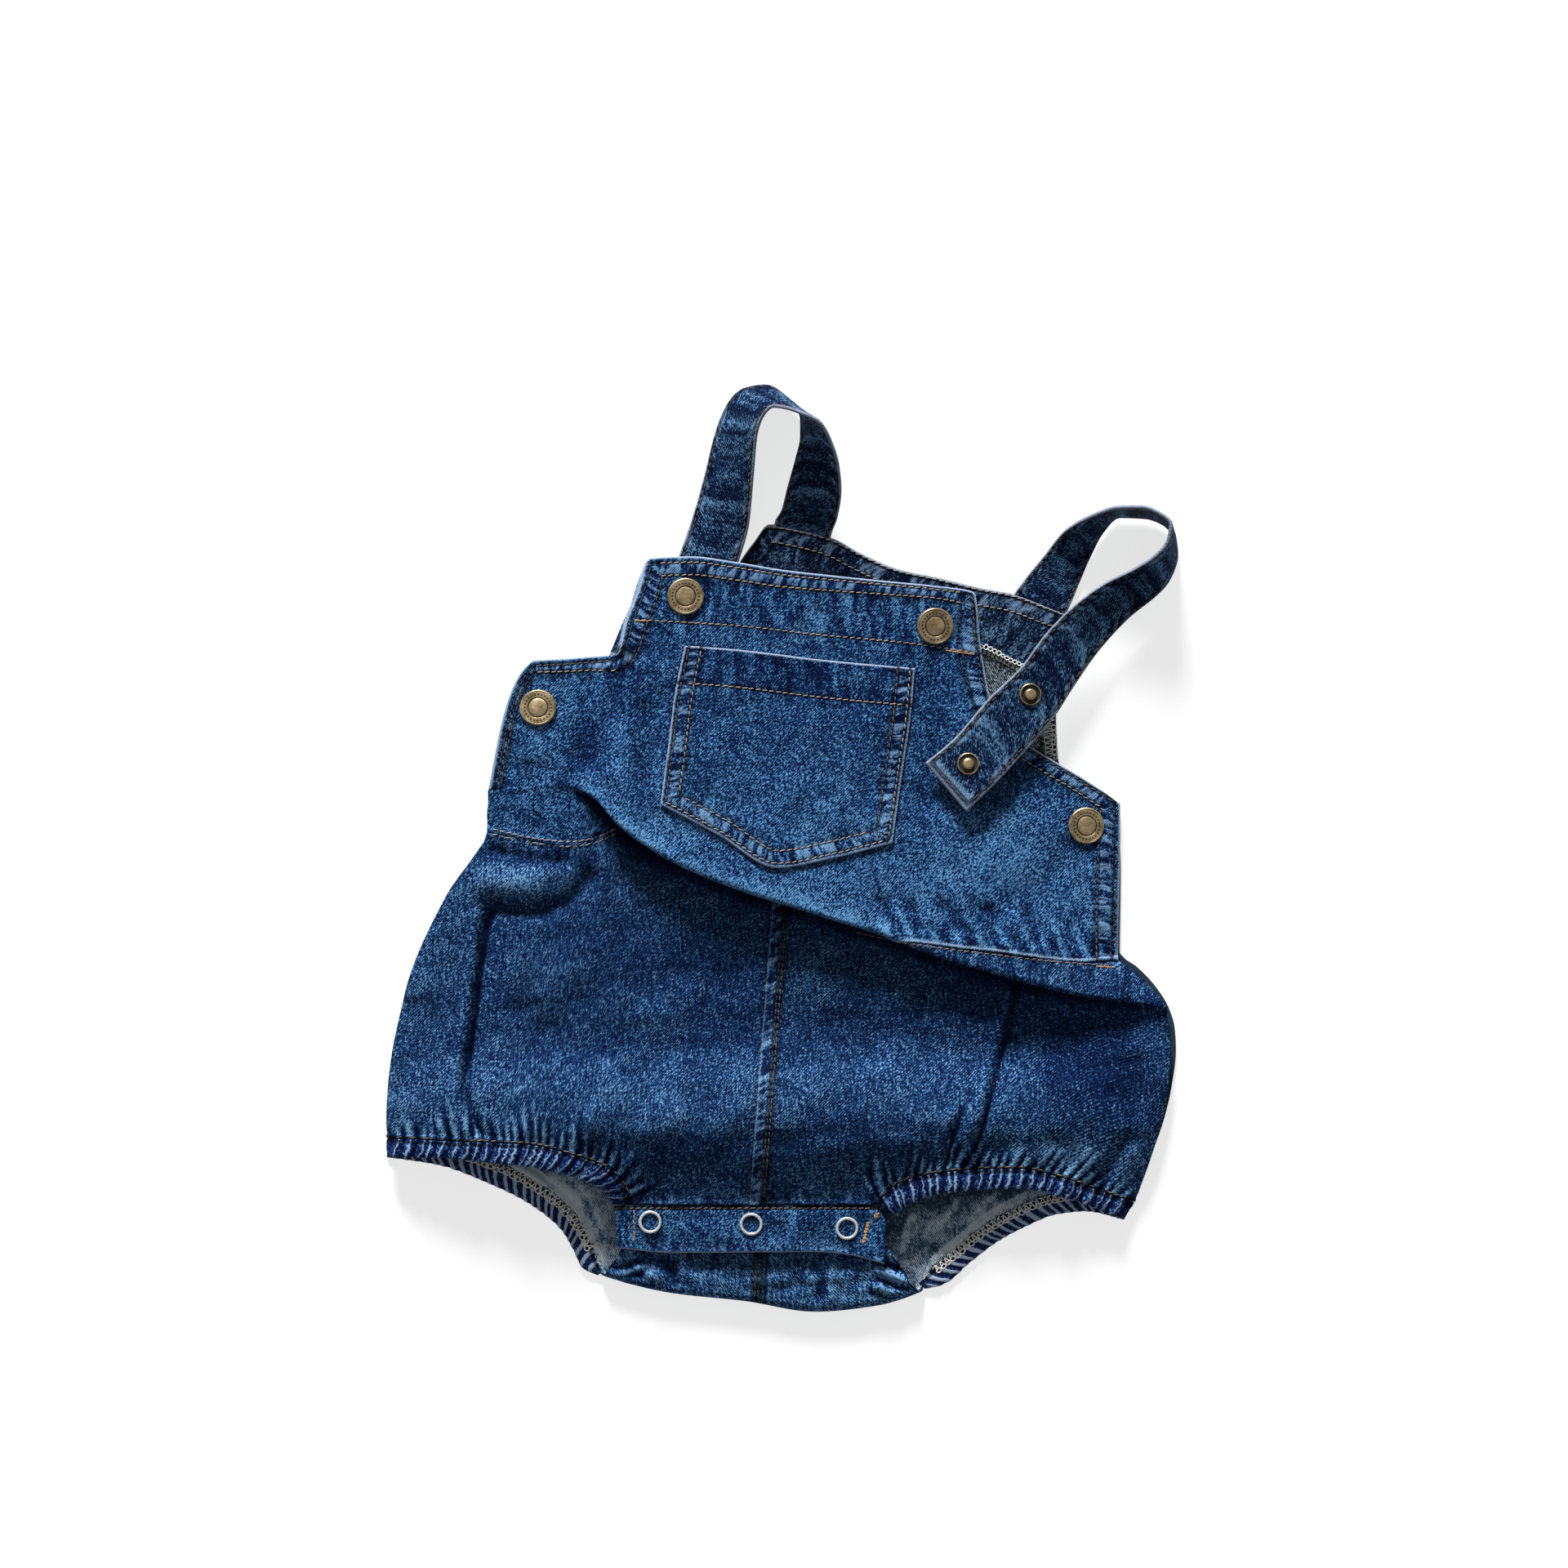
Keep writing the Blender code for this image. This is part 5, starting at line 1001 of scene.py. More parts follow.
def makeFrontBloomer(side):
    outward = 1 if side == "right" else -1
    table = f"front_{side}"
    topX, sideX = sizes["centreTop"], bloomer["sideX"][side]
    x = topX + outward * fromEdges(abs(sideX - topX), bloomer["step"] * (1.0 if outward > 0 else 0.9))
    columns = Columns(x=x)
    fold = columns.fold
    start = fold.length + 4 if outward > 0 else np.maximum(columns.seam, fold.length + 0.5)
    parts = []
    if outward > 0:
        q = mixed(columns.seam, start, np.linspace(0, 1, bloomer["foldRows"] + 1)[:-1, None])
        parts.append((*columns.at(q), q))
    sx, sy, sz, sflat = columns.at(start[None])
    t = (x - topX) / (sideX - topX)
    footX, footY = panelFoot(table, t, outward)
    far = sy[0] - footY
    close = np.array(bloomer["close"])
    rowsHere = 12 + int(round(bloomer["drop"] / bloomer["rows"]))
    upper = np.linspace(0, 1, rowsHere + 1)[:, None] * (far - close[0])
    down = np.concatenate([upper[:-1], far - close[:, None] + 0 * far])
    v = down / far
    px = mixed(sx[0], footX, v) + sideBow(side, sy[0][-1], footY[-1], v) * t
    py = mixed(sy[0], footY, v)
    pz = mixed(sz[0], puffedHeight(px, py), eased(down / 3))
    pz = pz + bloomerFolds(px, py) * eased(down / 8) + puckered(table, px, py)
    flat = sflat[0] - (sy[0] - py)
    if outward < 0:
        pz = pz + 0.7 * gathered(px, -128, 60, 4.0, 71, down) * eased((-66 - px) / 6)
    parts.append((px, py, pz, flat, start + down))
    x, y, z, flat, q = [np.concatenate([part[k] for part in parts]) for k in range(5)]
    toSeam = q - columns.seam
    if outward > 0:
        z = z + 0.5 * gathered(x, -4, 170, 4.4, 72, toSeam) * eased(toSeam / 2) * eased((x - 50) / 12)
    offset, hand, down = nearLine(x, y, centreLine)
    offset = np.where(y > -16, 40.0, offset * hand)  # to the right of the join
    felled = window(offset, -2.4, 4.8, 0.8)  # the seam's band
    toCasing, _side, alongCasing = nearLine(x, y, innerEdge(table))
    toFoot = np.minimum(toCasing, np.abs(y - sizes["crotchSeam"]) + np.where(y > -144, 30, 0))
    form = 0.35 * bell((toFoot - 0.9) / 1.0) - 0.3 * bell((toFoot - 2.4) / 0.8)
    ridge = np.sin(math.tau * (down + 0.6 * offset) / 6.2 + 1.3 * wavy(down, down * 0, 17, 31))
    form = form + felled * (0.6 + 0.14 * ridge) - 0.3 * bell((offset - 3.3) / 0.9)
    thick = rounded(np.minimum(toSeam, toFoot) + 0.5, sizes["half"])
    phase, strong = puckers(table, x, y)
    inSeam = (offset > -4) & (offset < 7)
    rowOne, rowTwo = bloomer["seamRows"]
    # painted shade: dark lines along the waist seam, on both sides of the centre seam's band and at the panel's foot
    lines = ((0.7, toSeam - 0.2, 0.5), (0.6, offset - 5.3, 0.6), (0.6, offset + 3.1, 0.6), (0.5, toFoot - 0.2, 0.5))
    marks = {"rope": np.maximum(0.3 * eased((2.2 - toSeam) / 1.2), felled * 0.45),
             "edge": np.where(inSeam, np.minimum(0.62 + abs(offset + 1.9), 6), 6.0),
             "hem": np.maximum(eased(1 - toFoot / 5) * 0.5, felled * 0.9),
             "along": np.where(inSeam, down, alongCasing) * 0.7,
             "rowOne": np.where(inSeam, offset - rowOne, toCasing - bloomer["casingRow"]),
             "rowTwo": np.where(inSeam, offset - rowTwo, 20.0),
             "seam": np.clip(sum(dark * bell(away / wide) for dark, away, wide in lines), 0, 1),
             # fade: paler and darker places, partly wash and partly painted light and shade; fold ridges paler and
             # creases darker, partly wear and partly painted shade; painted shade along the pleat lines and just under
             # the fold's edge
             "fade": (paintedLightAndWash(x, y, bloomerPaintedLightAndWash) + 0.05 * bloomerFolds(x, y) + pleatShade(x, y)
                      + np.where(q > 0.6 * fold.length, paintedFoldShade(x, y), 0)),
             "gather": phase, "crest": np.clip(strong * 1.6, 0, 1),
             "band": np.maximum(0.8 * eased(1 - toFoot / 16), 0.7 * eased(1 - toSeam / 14))}
    piece = clothPiece(f"bloomer_front_{side}", np.stack([x, y, z], -1), thick + form, thick,
                       [bloomerDenim, insideDenim], np.stack([x, flat], -1), marks, f"front_bloomer_{side}")
    return piece


bloomerPieces = {side: makeFrontBloomer(side) for side in ("left", "right")}
print("bloomer fronts done")


# --- back of the garment, whose inside faces up

def makePatch(top, foot, left, right, look):  # a flat patch between four tables, with its size and step each way
    top, foot, left, right = [smoothLine(line) for line in (top, foot, left, right)]
    u, v = [fromEdges(whole, step) / whole for whole, step in (look["across"], look["down"])]
    flat = patched(top(u[None]), foot(u[None]), left, right, u[None], v[:, None])
    return [np.broadcast_to(axis, (len(v), len(u))) for axis in flat]


backPanel = {"across": (lineLength(backTop), 2.0), "down": (150, 2.2), "rows": (1.6, 6.5), "cut": (0.262, 0.180),
             "area": 0.0291}
facing = {"across": (lineLength(facingTop), 1.5), "down": (30, 1.5), "height": 1.9, "rows": (1.0, 7.0),
          "cut": (0.132, 0.032), "area": 0.00345}


def makeBackBodice():
    x, y = makePatch(backTop, backWaist, backLeftEdge, backRightEdge, backPanel)
    outline = np.concatenate([sampled(backLeftEdge, 40, 1, 0)[:-1], sampled(backTop, 240),
                              sampled(backRightEdge, 40)[1:]])
    away, _side, along = nearLine(x, y, outline)
    form = hemForm(away, along, *backPanel["rows"], 21) * 0.8
    thick = rounded(away, sizes["half"])
    marks = {"edge": np.minimum(away, 6), "rope": 0.7 * ropeMark(away, *backPanel["rows"]), "along": along,
             "hem": eased((8 - away) / 2), "rowOne": away - 1.2}
    z = sizes["backHeight"] + 0 * x
    piece = clothPiece("bodice_back", np.stack([x, y, z], -1), thick + form, sizes["backHeight"],
                       [insideDenim, denim], np.stack([x, y], -1), marks, "back_bodice")
    return piece


def makeFacing():
    x, y = makePatch(facingTop, facingFoot, *[(facingTop[end], facingFoot[end]) for end in (0, -1)], facing)
    neck = sampled(facingTop, 120)
    away, _side, along = nearLine(x, y, np.concatenate([neck, sampled(facingFoot, 120, 1, 0)]))
    height = facing["height"] + 0.25 * wavy(x, y, 22, 23)
    thick = rounded(away, 0.4)
    fromNeck = nearLine(x, y, neck)[0]
    rowOne, rowTwo = facing["rows"]
    marks = {"edge": np.minimum(away + 0.4, 6), "rope": 0.8 * ropeMark(fromNeck, rowOne, rowTwo),
             "along": along * 0.7, "hem": 0.75, "rowOne": fromNeck - rowOne, "rowTwo": fromNeck - rowTwo}
    piece = clothPiece("facing_back", np.stack([x, y, height], -1), thick, thick, [facingDenim],
                       np.stack([x, y], -1), marks, "back_facing")
    return piece


def makeBackBloomer(side):
    outward = 1 if side == "right" else -1
    outer = -1 if outward > 0 else 0  # the row of a table on this side
    table = f"back_{side}"
    centreTop, centreFoot = sizes["centreTop"], sizes["centreBack"]
    sideTop, corner = backWaist[outer][0], crotchFold[outer][0]
    legX, legY = casingLines[table](np.linspace(0, 1, 95))[:, :2].T
    foldColumns = columnsOf(crotchFold)
    foldY, foldPast = [smoothCurve(foldColumns[0], column) for column in foldColumns[1:]]
    share = np.concatenate([[0.0, 0.01, 0.02], np.linspace(0.035, 0.2, 14), np.linspace(0.22, 1.0, 44)])
    rimX = mixed(corner, centreFoot, share)
    radius = sizes["crotchRadius"]
    x = np.concatenate([legX, rimX])
    y = np.concatenate([legY, foldY(rimX) + radius])
    past = np.concatenate([np.zeros(len(legX)), foldPast(rimX)])
    steps = stepsAlong(np.stack([x, y], -1))
    t = steps / steps[-1]
    topX = mixed(sideTop, centreTop, t)
    waistY = smoothCurve(*columnsOf(backWaist))
    topY = waistY(topX)
    before = np.maximum(backBloomer["turn"] - past, 0)
    flatRows = 1 - (1 - np.linspace(0, 1, 52)) ** 1.35
    v = flatRows[:-1, None] * (1 - before / (topY - y))
    turn = mixed(-before, past, np.linspace(0, 1, 33)[:, None])
    v = np.concatenate([v, 1 + np.minimum(turn, 0) / (topY - y)])
    q = np.concatenate([np.full((len(flatRows) - 1, len(x)), -1.0), turn])
    px = mixed(topX, x, v) + sideBow(side, waistY(sideTop), y[0], v) * (1 - t)
    py = mixed(topY, y, v)
    bend = np.clip(q / radius, 0, math.pi)
    beyond = np.maximum(q - radius * math.pi, 0)
    py = py - radius * np.sin(bend) + beyond
    pz = sizes["backHeight"] + radius * (1 - np.cos(bend))
    toCasing = nearLine(px, py, innerEdge(table))[0]
    toFront = nearLine(px, py, casingLines[f"front_{side}"](np.linspace(0, 1, 60))[:, 2:])[0]
    flatPart = q <= 0
    pz = pz + np.where(flatPart, np.maximum(puckered(table, px, py), -0.1) * 0.6, 0)
    # the turned-up cloth swells between its corners, with creases that run into them
    onTop = eased(beyond / 5)
    middle = np.clip((px - crotchFold[0][0]) / (crotchFold[-1][0] - crotchFold[0][0]), 0, 1)
    pz = pz + onTop * 0.5 * wavy(px, py * 1.6, 13, 33) * window(middle, 0, 1, 1 / 8)
    bunched = eased(beyond / 1.2) * creased(px, py, crotchCreases, 3.0)
    pz = pz + bunched
    thick = rounded(np.where(flatPart, toCasing + 0.5, 5.0), sizes["half"])
    lower = np.minimum(thick, np.where(flatPart, sizes["backHeight"], thick))
    overlocked = 0.35 * bell((toCasing - 1.6) / 1.4) * flatPart
    seam = nearLine(px, py, np.array([[centreTop, -20], [centreFoot, -192]]))[0]
    soft = creased(px, py, legCreases, 5.0)
    pz = pz + flatPart * np.maximum(soft, -0.1)
    # painted light and shade inside the legs: ridges of the leg creases paler (partly wear) and the cloth darker near
    # the front casing (painted shade)
    inLegLightAndShade = backBloomer["inLegLightAndShade"][side] + 0.85 * soft - 0.25 * eased(1 - (toFront - 1) / 8)
    inLegLightAndShade = inLegLightAndShade - 0.9 * eased(1.6 - np.minimum(px - sideLeft(py), sideRight(py) - px) / 3)
    inLegLightAndShade = inLegLightAndShade + 0.75 * bell((toCasing - 2.8) / 2.2)  # the pale loops of the overlocked edge
    # painted light and shade at the crotch fold: paler on the turn and a little paler on top, darker where it bends;
    # crease ridges of the turned-up cloth paler and troughs darker, partly wear and partly painted shade; darker
    # towards its far end
    atTurn = 0.1 * eased(q / 2) * (1 - onTop) - 0.5 * eased((q + 3) / 3) * (1 - eased(q / 1.5))
    fade = flatPart * inLegLightAndShade + atTurn + 0.06 * onTop + 0.32 * bunched - 0.9 * eased((q - past + 1.3) / 0.8)
    # painted shade: the seam mark is a dark line along the centre seam
    marks = {"seam": 0.6 * bell(seam / 0.6), "fade": fade, "rowOne": seam - 1.0, "rowTwo": seam - 2.6,
             "band": 0.5 * onTop}
    piece = clothPiece(f"bloomer_back_{side}", np.stack([px, py, pz], -1), thick + overlocked, lower,
                       [legLightenedDenim, bloomerDenim], np.stack([px, mixed(topY, y, v) - np.maximum(q, 0)], -1), marks,
                       f"back_bloomer_{side}")
    return piece


backBloomer = {
    "turn": 6.0, "cut": (0.165, 0.195), "areas": {"left": 0.0242, "right": 0.0237},
    "inLegLightAndShade": {"left": 0.52, "right": 0.17},  # how pale the cloth is inside each leg; the left is made paler, painted light against the deeper shade the front throws there
}
legCreases = (  # soft ridges inside the leg openings
    (-1.2, 2.2, 0.5, ((76, -143), (70, -152), (58, -163))),
    (-0.9, 1.8, 0.4, ((92, -142), (84, -149), (76, -158))),
    (-0.8, 1.6, 0.4, ((56, -150), (52, -160), (50, -172))),
    (-1.2, 2.0, 0.5, ((-98, -134), (-90, -141), (-80, -150))),
    (-0.9, 1.8, 0.4, ((-86, -138), (-78, -148), (-74, -160))),
    (-0.8, 1.6, 0.4, ((-114, -131), (-104, -136), (-96, -142))),
)
crotchCreases = (
    (1.9, 2.0, 0.8, ((60, -178), (49, -175), (38, -170))),
    (1.5, 1.6, 0.6, ((62, -184), (51, -183), (39, -179))),
    (1.2, 1.6, 0.5, ((54, -188), (44, -187), (36, -184))),
    (1.8, 2.0, 0.6, ((-76, -174), (-66, -175), (-57, -171))),
    (1.2, 1.6, 0.4, ((-73, -179), (-64, -179), (-56, -176))),
    (1.0, 2.6, 0.4, ((-50, -168), (-45, -176), (-42, -184))),
    (0.9, 2.6, 0.3, ((12, -170), (17, -180), (16, -190))),
    (-1.3, 1.1, 0.3, ((61, -181), (50, -179), (37, -174))),
    (-1.1, 1.0, 0.3, ((58, -186.5), (48, -185.3), (37, -181.5))),
    (-1.0, 0.9, 0.3, ((56, -173.5), (49, -171), (42, -166))),
    (-1.2, 1.0, 0.3, ((-75, -176.5), (-65, -177.2), (-56, -173.5))),
    (-1.0, 1.2, 0.3, ((-62, -172), (-54, -178), (-48, -182))),
)
backPieces = [makeBackBodice(), makeFacing(), makeBackBloomer("left"), makeBackBloomer("right")]
print("back done")


# --- pocket

pocket = {"across": (96, 1.25), "down": (84, 1.25), "puff": 0.7, "rows": (1.9, 7.1), "hemRow": 15.5,
          "cut": (0.105, 0.093), "area": 0.0078}


def makePocket():
    x, y = makePatch(pocketTop, pocketFoot, pocketLeft, pocketRight, pocket)
    left, foot, right = [sampled(line, 50) for line in (pocketLeft, pocketFoot, pocketRight)]
    away, _side, along = nearLine(x, y, np.concatenate([left, foot[1:-1], right[::-1]]))
    fromTop = nearLine(x, y, sampled(pocketTop, 50))[0]
    form = hemForm(away, along, *pocket["rows"], 25) + 0.3 * eased((pocket["hemRow"] + 1 - fromTop) / 1.4)
    form = form - 0.28 * bell((fromTop - pocket["hemRow"]) / 0.8)
    inside = eased(away / 14)
    z = bodiceHeight(x, y) + 1.12 + pocket["puff"] * inside + 0.35 * inside * wavy(x, y, 24, 27)
    edge = np.minimum(away, fromTop)
    thick = rounded(edge, sizes["half"])
    rope = ropeMark(away, *pocket["rows"])
    rowOne, pastRows = away - pocket["rows"][0], away - pocket["rows"][1]
    inHem = pocket["hemRow"] - fromTop
    # painted shade: the seam mark is a dark line at the foot of the pocket hem's raised edge
    marks = {"edge": np.minimum(edge, 6), "rope": rope * 0.8, "seam": 0.55 * bell((pastRows - 1.6) / 0.7),
             "along": along, "hem": np.maximum(rope, 0.5 * eased(1 - pastRows / 7)),
             "band": 0.9 * eased((inHem + 4) / 4), "rowOne": rowOne, "rowTwo": np.minimum(abs(pastRows), abs(inHem)),
             # fade: paler towards the foot and darker in the top hem, painted light and shade
             "fade": 0.24 * eased(1 - (y + 10) / 50) - 0.05 - 0.12 * eased((inHem + 1) / 2)}
    piece = clothPiece("pocket", np.stack([x, y, z], -1), thick + form, thick, [pocketDenim, insideDenim],
                       np.stack([x + 300, y * 0.998 + 0.02 * x], -1), marks, "bib_pocket")
    return piece


pocketPiece = makePocket()
print("pocket done")


# --- crotch band

band = {"across": (112, 1.2), "down": (20, 0.9), "row": 0.9, "cut": (0.112, 0.022), "area": 0.00217}


def makeBand():
    x, y = makePatch(bandTop, bandFoot, (bandTop[0], bandFoot[0]), bandRightEnd, band)
    fromFoot, _side, along = nearLine(x, y, sampled(bandFoot, 60))
    fromRight = nearLine(x, y, sampled(bandRightEnd, 20))[0]
    fromTop = nearLine(x, y, sampled(bandTop, 30))[0]
    form = 0.3 * bell((fromTop - 3) / 2) - 0.25 * bell((fromTop - 1.2) / 0.7) - 0.25 * bell((fromFoot - 2.2) / 0.7)
    z = sizes["bandHeight"] + 0.35 * wavy(x, y, 18, 29)
    thick = rounded(np.minimum(fromFoot, fromRight), 0.75)
    # painted shade: the seam mark is a dark line along the band's top edge
    marks = {"edge": np.minimum(fromFoot + 0.2, 6), "rope": 0.4 * ropeMark(fromFoot, 1.0, 4.0), "along": along,
             "rowOne": fromTop - band["row"], "hem": eased(1 - fromFoot / 5) * 0.6, "band": 0.55,
             "seam": 0.5 * bell(fromTop / 0.6)}
    piece = clothPiece("crotch_band", np.stack([x, y, z], -1), thick + form, thick, [denim], np.stack([x, y], -1),
                       marks, "front_crotch_band")
    return piece


bandPiece = makeBand()
print("crotch band done")


# --- straps: their upper edge stands up round the loop

straps = {"left": (strapLeft, 0.169), "right": (strapRight, 0.192)}  # table and length as cut
strap = {"width": 24.5, "step": 1.1, "close": (0.0, 0.2, 0.6, 1.1), "row": 1.7}
strapGrids = {}  # points, normals, lengths along and across, for the sewing


def makeStrap(side):
    table, cut = straps[side]
    whole, width = cut / mm, strap["width"]
    t = fromEdges(whole, strap["step"]) / whole
    s = fromEdges(width, strap["step"], strap["close"]) / width
    edges = smoothLine(table, 3)(t)[None]
    points = mixed(edges[..., :3], edges[..., 3:], s[:, None, None])
    across, along = s[:, None] * width, t[None] * whole
    edge = np.minimum(across, width - across)
    near = np.minimum(edge, np.minimum(along, whole - along))
    form = -0.22 * bell((near - strap["row"]) / 0.6)
    form = form + 0.12 * bell((edge - 3.2) / 1.2) * np.sin(along * math.tau / 5.2)
    thick = rounded(near, 0.78)
    rope = 0.7 * eased((4.2 - near) / 1.5)
    marks = {"edge": np.minimum(near, 6), "rope": rope, "along": along * 0.5, "hem": 0.62 + 0.35 * rope,
             "rowOne": near - strap["row"]}
    fabric = np.stack([np.broadcast_to(across, near.shape), np.broadcast_to(along, near.shape)], -1)
    piece = clothPiece(f"strap_{side}_cloth", points, thick + form, thick + form, [strapDenim], fabric, marks,
                       f"strap_{side}")
    normals = gridNormals(points)
    strapGrids[side] = (points, normals if normals[..., 2].mean() > 0 else -normals, along[0], across[:, 0])
    return piece


strapPieces = {side: makeStrap(side) for side in straps}
print("straps done")


# --- metal parts

caps = {
    "radius": 7.6, "sides": 64, "base": 0.9,
    "rest": 0.8, "lift": 0.15,  # how far inside its rim it rests on the cloth, and how high above it
    # inset and lift of each step of the face, from the rim to the middle
    "steps": ((0.35, 0.35), (0.30, 0.08), (0.12, -0.12), (0.10, 0.0), (2.35, 0.03), (0.10, -0.30), (0.28, 0.0),
              (0.10, 0.34), (1.40, 0.14), (1.40, 0.06)),
    "grooves": ((3.88, 4.30, 1.0), (6.76, 6.90, 0.6)),  # from radius to radius, how dark
    "under": (0.3, 0.8),  # up to which height its side is darkened as painted shade, and how dark
    "dots": 24, "dotRadius": 0.42, "dotRing": 5.5, "dotHeight": 1.22,
}
studs = {
    "radius": 4.6, "sides": 48, "base": 0.5, "rest": 0.6, "lift": 0.1,
    "steps": ((0.25, 0.30), (0.25, 0.05), (0.15, -0.5), (1.5, -0.05), (0.10, 0.8), (0.15, 0.35), (0.40, 0.25),
              (0.8, 0.10)),
    # under: up to which height a stud's side is darkened as painted shade, and how dark
    "grooves": ((2.42, 4.05, 1.0),), "under": (0.2, 0.6),
}
discs = {"bevel": 0.07, "smooth": 40}
# under: a ring is darkened below this height as painted shade, and how dark
rings = {"radius": 4.15, "wire": 0.6, "squash": 0.8, "smooth": 50, "rest": 0, "lift": 0.42, "under": (-0.25, 0.5)}


def nothingSelected():
    bpy.ops.object.select_all(action="DESELECT")


def steppedDisc(node, look):  # a disc whose top face is shaped ring by ring
    nothingSelected()
    bpy.ops.mesh.primitive_cylinder_add(vertices=look["sides"], radius=look["radius"] * mm, depth=look["base"] * mm,
                                        location=(0, 0, look["base"] / 2 * mm))
    disc = bpy.context.object
    disc.name = f"{node}_disc"
    bpy.ops.object.transform_apply(location=True)
    bpy.ops.object.mode_set(mode="EDIT")
    bpy.ops.mesh.select_all(action="DESELECT")
    bpy.ops.object.mode_set(mode="OBJECT")
    for face in disc.data.polygons:
        face.select = face.normal.z > 0.9
    bpy.ops.object.mode_set(mode="EDIT")
    for inward, lift in look["steps"]:
        bpy.ops.mesh.inset(thickness=inward * mm, depth=lift * mm)
    bpy.ops.object.mode_set(mode="OBJECT")
    soften = disc.modifiers.new("soften", "BEVEL")
    soften.width, soften.segments, soften.limit_method = discs["bevel"] * mm, 2, "ANGLE"
    bpy.ops.object.modifier_apply(modifier=soften.name)
    bpy.ops.object.shade_smooth_by_angle(angle=math.radians(discs["smooth"]))
    markGrooves(disc, look["grooves"], *look["under"])
    return disc


def markGrooves(piece, grooves, base, under):  # dark between radii, and below the base: painted shade at the foot of discs and rings, and the print of a cap's dots, which lie wholly below it
    def dark(r, z):
        return max([share for low, high, share in grooves if low < r < high] + [under if z < base else 0.0])

    values = [dark(math.hypot(v.co.x, v.co.y) / mm, v.co.z / mm) for v in piece.data.vertices]
    piece.data.attributes.new("groove", "FLOAT", "POINT").data.foreach_set("value", values)


def surfaceOf(*pieces):
    return [BVHTree.FromObject(piece, bpy.context.evaluated_depsgraph_get()) for piece in pieces]


rayHeight = 0.08  # metres, above everything


def dropped(trees, x, y):  # the highest point of the surfaces under x, y, and its normal, in metres
    origin = Vector(((x + originShift[0]) * mm, (y + originShift[1]) * mm, rayHeight))
    hits = [tree.ray_cast(origin, Vector((0, 0, -1))) for tree in trees]
    hits = [hit for hit in hits if hit[0] is not None]
    return max(hits, key=lambda hit: hit[0].z)[:2] if hits else (None, None)


def seatOn(trees, x, y, reach):  # where a disc lies on cloth: middle and facing
    east, west = dropped(trees, x + reach, y)[0], dropped(trees, x - reach, y)[0]
    north, south = dropped(trees, x, y + reach)[0], dropped(trees, x, y - reach)[0]
    facing = (east - west).cross(north - south).normalized()
    if facing.z < 0:
        facing = -facing
    middle = dropped(trees, x, y)[0]
    middle.z = max(middle.z, (east.z + west.z) / 2, (north.z + south.z) / 2)
    return middle, facing


def nodeMiddle(node):
    low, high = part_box(node)
    return (np.array(low + high) / 2 / mm - originShift)[:2]


def placeMetal(piece, node, trees, look, finish):  # above the cloth at its node, and facing as it does
    middle, facing = seatOn(trees, *nodeMiddle(node), look["radius"] - look["rest"])
    placed = Matrix.Translation(middle + facing * look["lift"] * mm)
    piece.data.transform(placed @ facing.to_track_quat("Z", "Y").to_matrix().to_4x4())
    piece.data.materials.clear()
    piece.data.materials.append(finish)
    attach(piece, "root")
    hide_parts(node)


def makeCap(node, trees):
    disc = steppedDisc(node, caps)
    nothingSelected()
    bpy.ops.mesh.primitive_ico_sphere_add(subdivisions=2, radius=caps["dotRadius"] * mm)
    dot = bpy.context.object
    dot.data.transform(Matrix.Diagonal((1, 1, 0.4, 1)))
    markGrooves(dot, (), caps["radius"], 1.0)  # dark all over
    parts = [disc]
    ring = caps["dotRing"] * mm
    for x, y in circle(caps["dots"])[:-1]:
        parts.append(added("dot", dot.data.copy()))
        parts[-1].data.transform(Matrix.Translation((ring * x, ring * y, caps["dotHeight"] * mm)))
    bpy.data.objects.remove(dot)
    nothingSelected()
    for part in parts:
        part.select_set(True)
    bpy.context.view_layer.objects.active = disc
    bpy.ops.object.join()
    placeMetal(disc, node, trees, caps, brass)


def makeRing(node, trees):
    nothingSelected()
    bpy.ops.mesh.primitive_torus_add(major_segments=56, minor_segments=10, major_radius=rings["radius"] * mm,
                                     minor_radius=rings["wire"] * mm)
    ring = bpy.context.object
    ring.name = f"{node}_wire"
    bpy.ops.object.mode_set(mode="EDIT")
    bpy.ops.mesh.select_all(action="SELECT")
    bpy.ops.transform.resize(value=(1, 1, rings["squash"]))
    bpy.ops.object.mode_set(mode="OBJECT")
    bpy.ops.object.shade_smooth_by_angle(angle=math.radians(rings["smooth"]))
    markGrooves(ring, (), *rings["under"])
    placeMetal(ring, node, trees, rings, nickel)


onBodice, onStrap, onBand = surfaceOf(bodicePiece), surfaceOf(strapPieces["right"]), surfaceOf(bandPiece)
for node in ("bib_snap_cap_left", "bib_snap_cap_right", "side_snap_cap_left", "side_snap_cap_right"):
    makeCap(node, onBodice)
for node in ("strap_stud_upper", "strap_stud_lower"):
    placeMetal(steppedDisc(node, studs), node, onStrap, studs, brass)
for node in ("crotch_ring_left", "crotch_ring_middle", "crotch_ring_right"):
    makeRing(node, onBand)
print("metal parts done")


# --- sewing: every stitch is a short piece of thread, gathered into one mesh for each thread

sewing = {
    "pitch": 2.8, "length": 2.35, "radius": 0.27, "slant": 0.2, "fine": 0.1, "overStrap": 0.62,
    "step": 1.5, "loopStep": 2.2,  # a stitch or a loop that would climb more than this is left out
}
stitches = {name: [] for name in threads}  # start, end, up and radius of each
stitchDice = np.random.default_rng(90)
rim = circle(5)[:-1]


def spacedAlong(line):  # points of a line at even, fine steps
    steps = stepsAlong(line)
    places = np.arange(0, steps[-1], sewing["fine"])
    return np.stack([np.interp(places, steps, column) for column in zip(*line)], axis=-1)


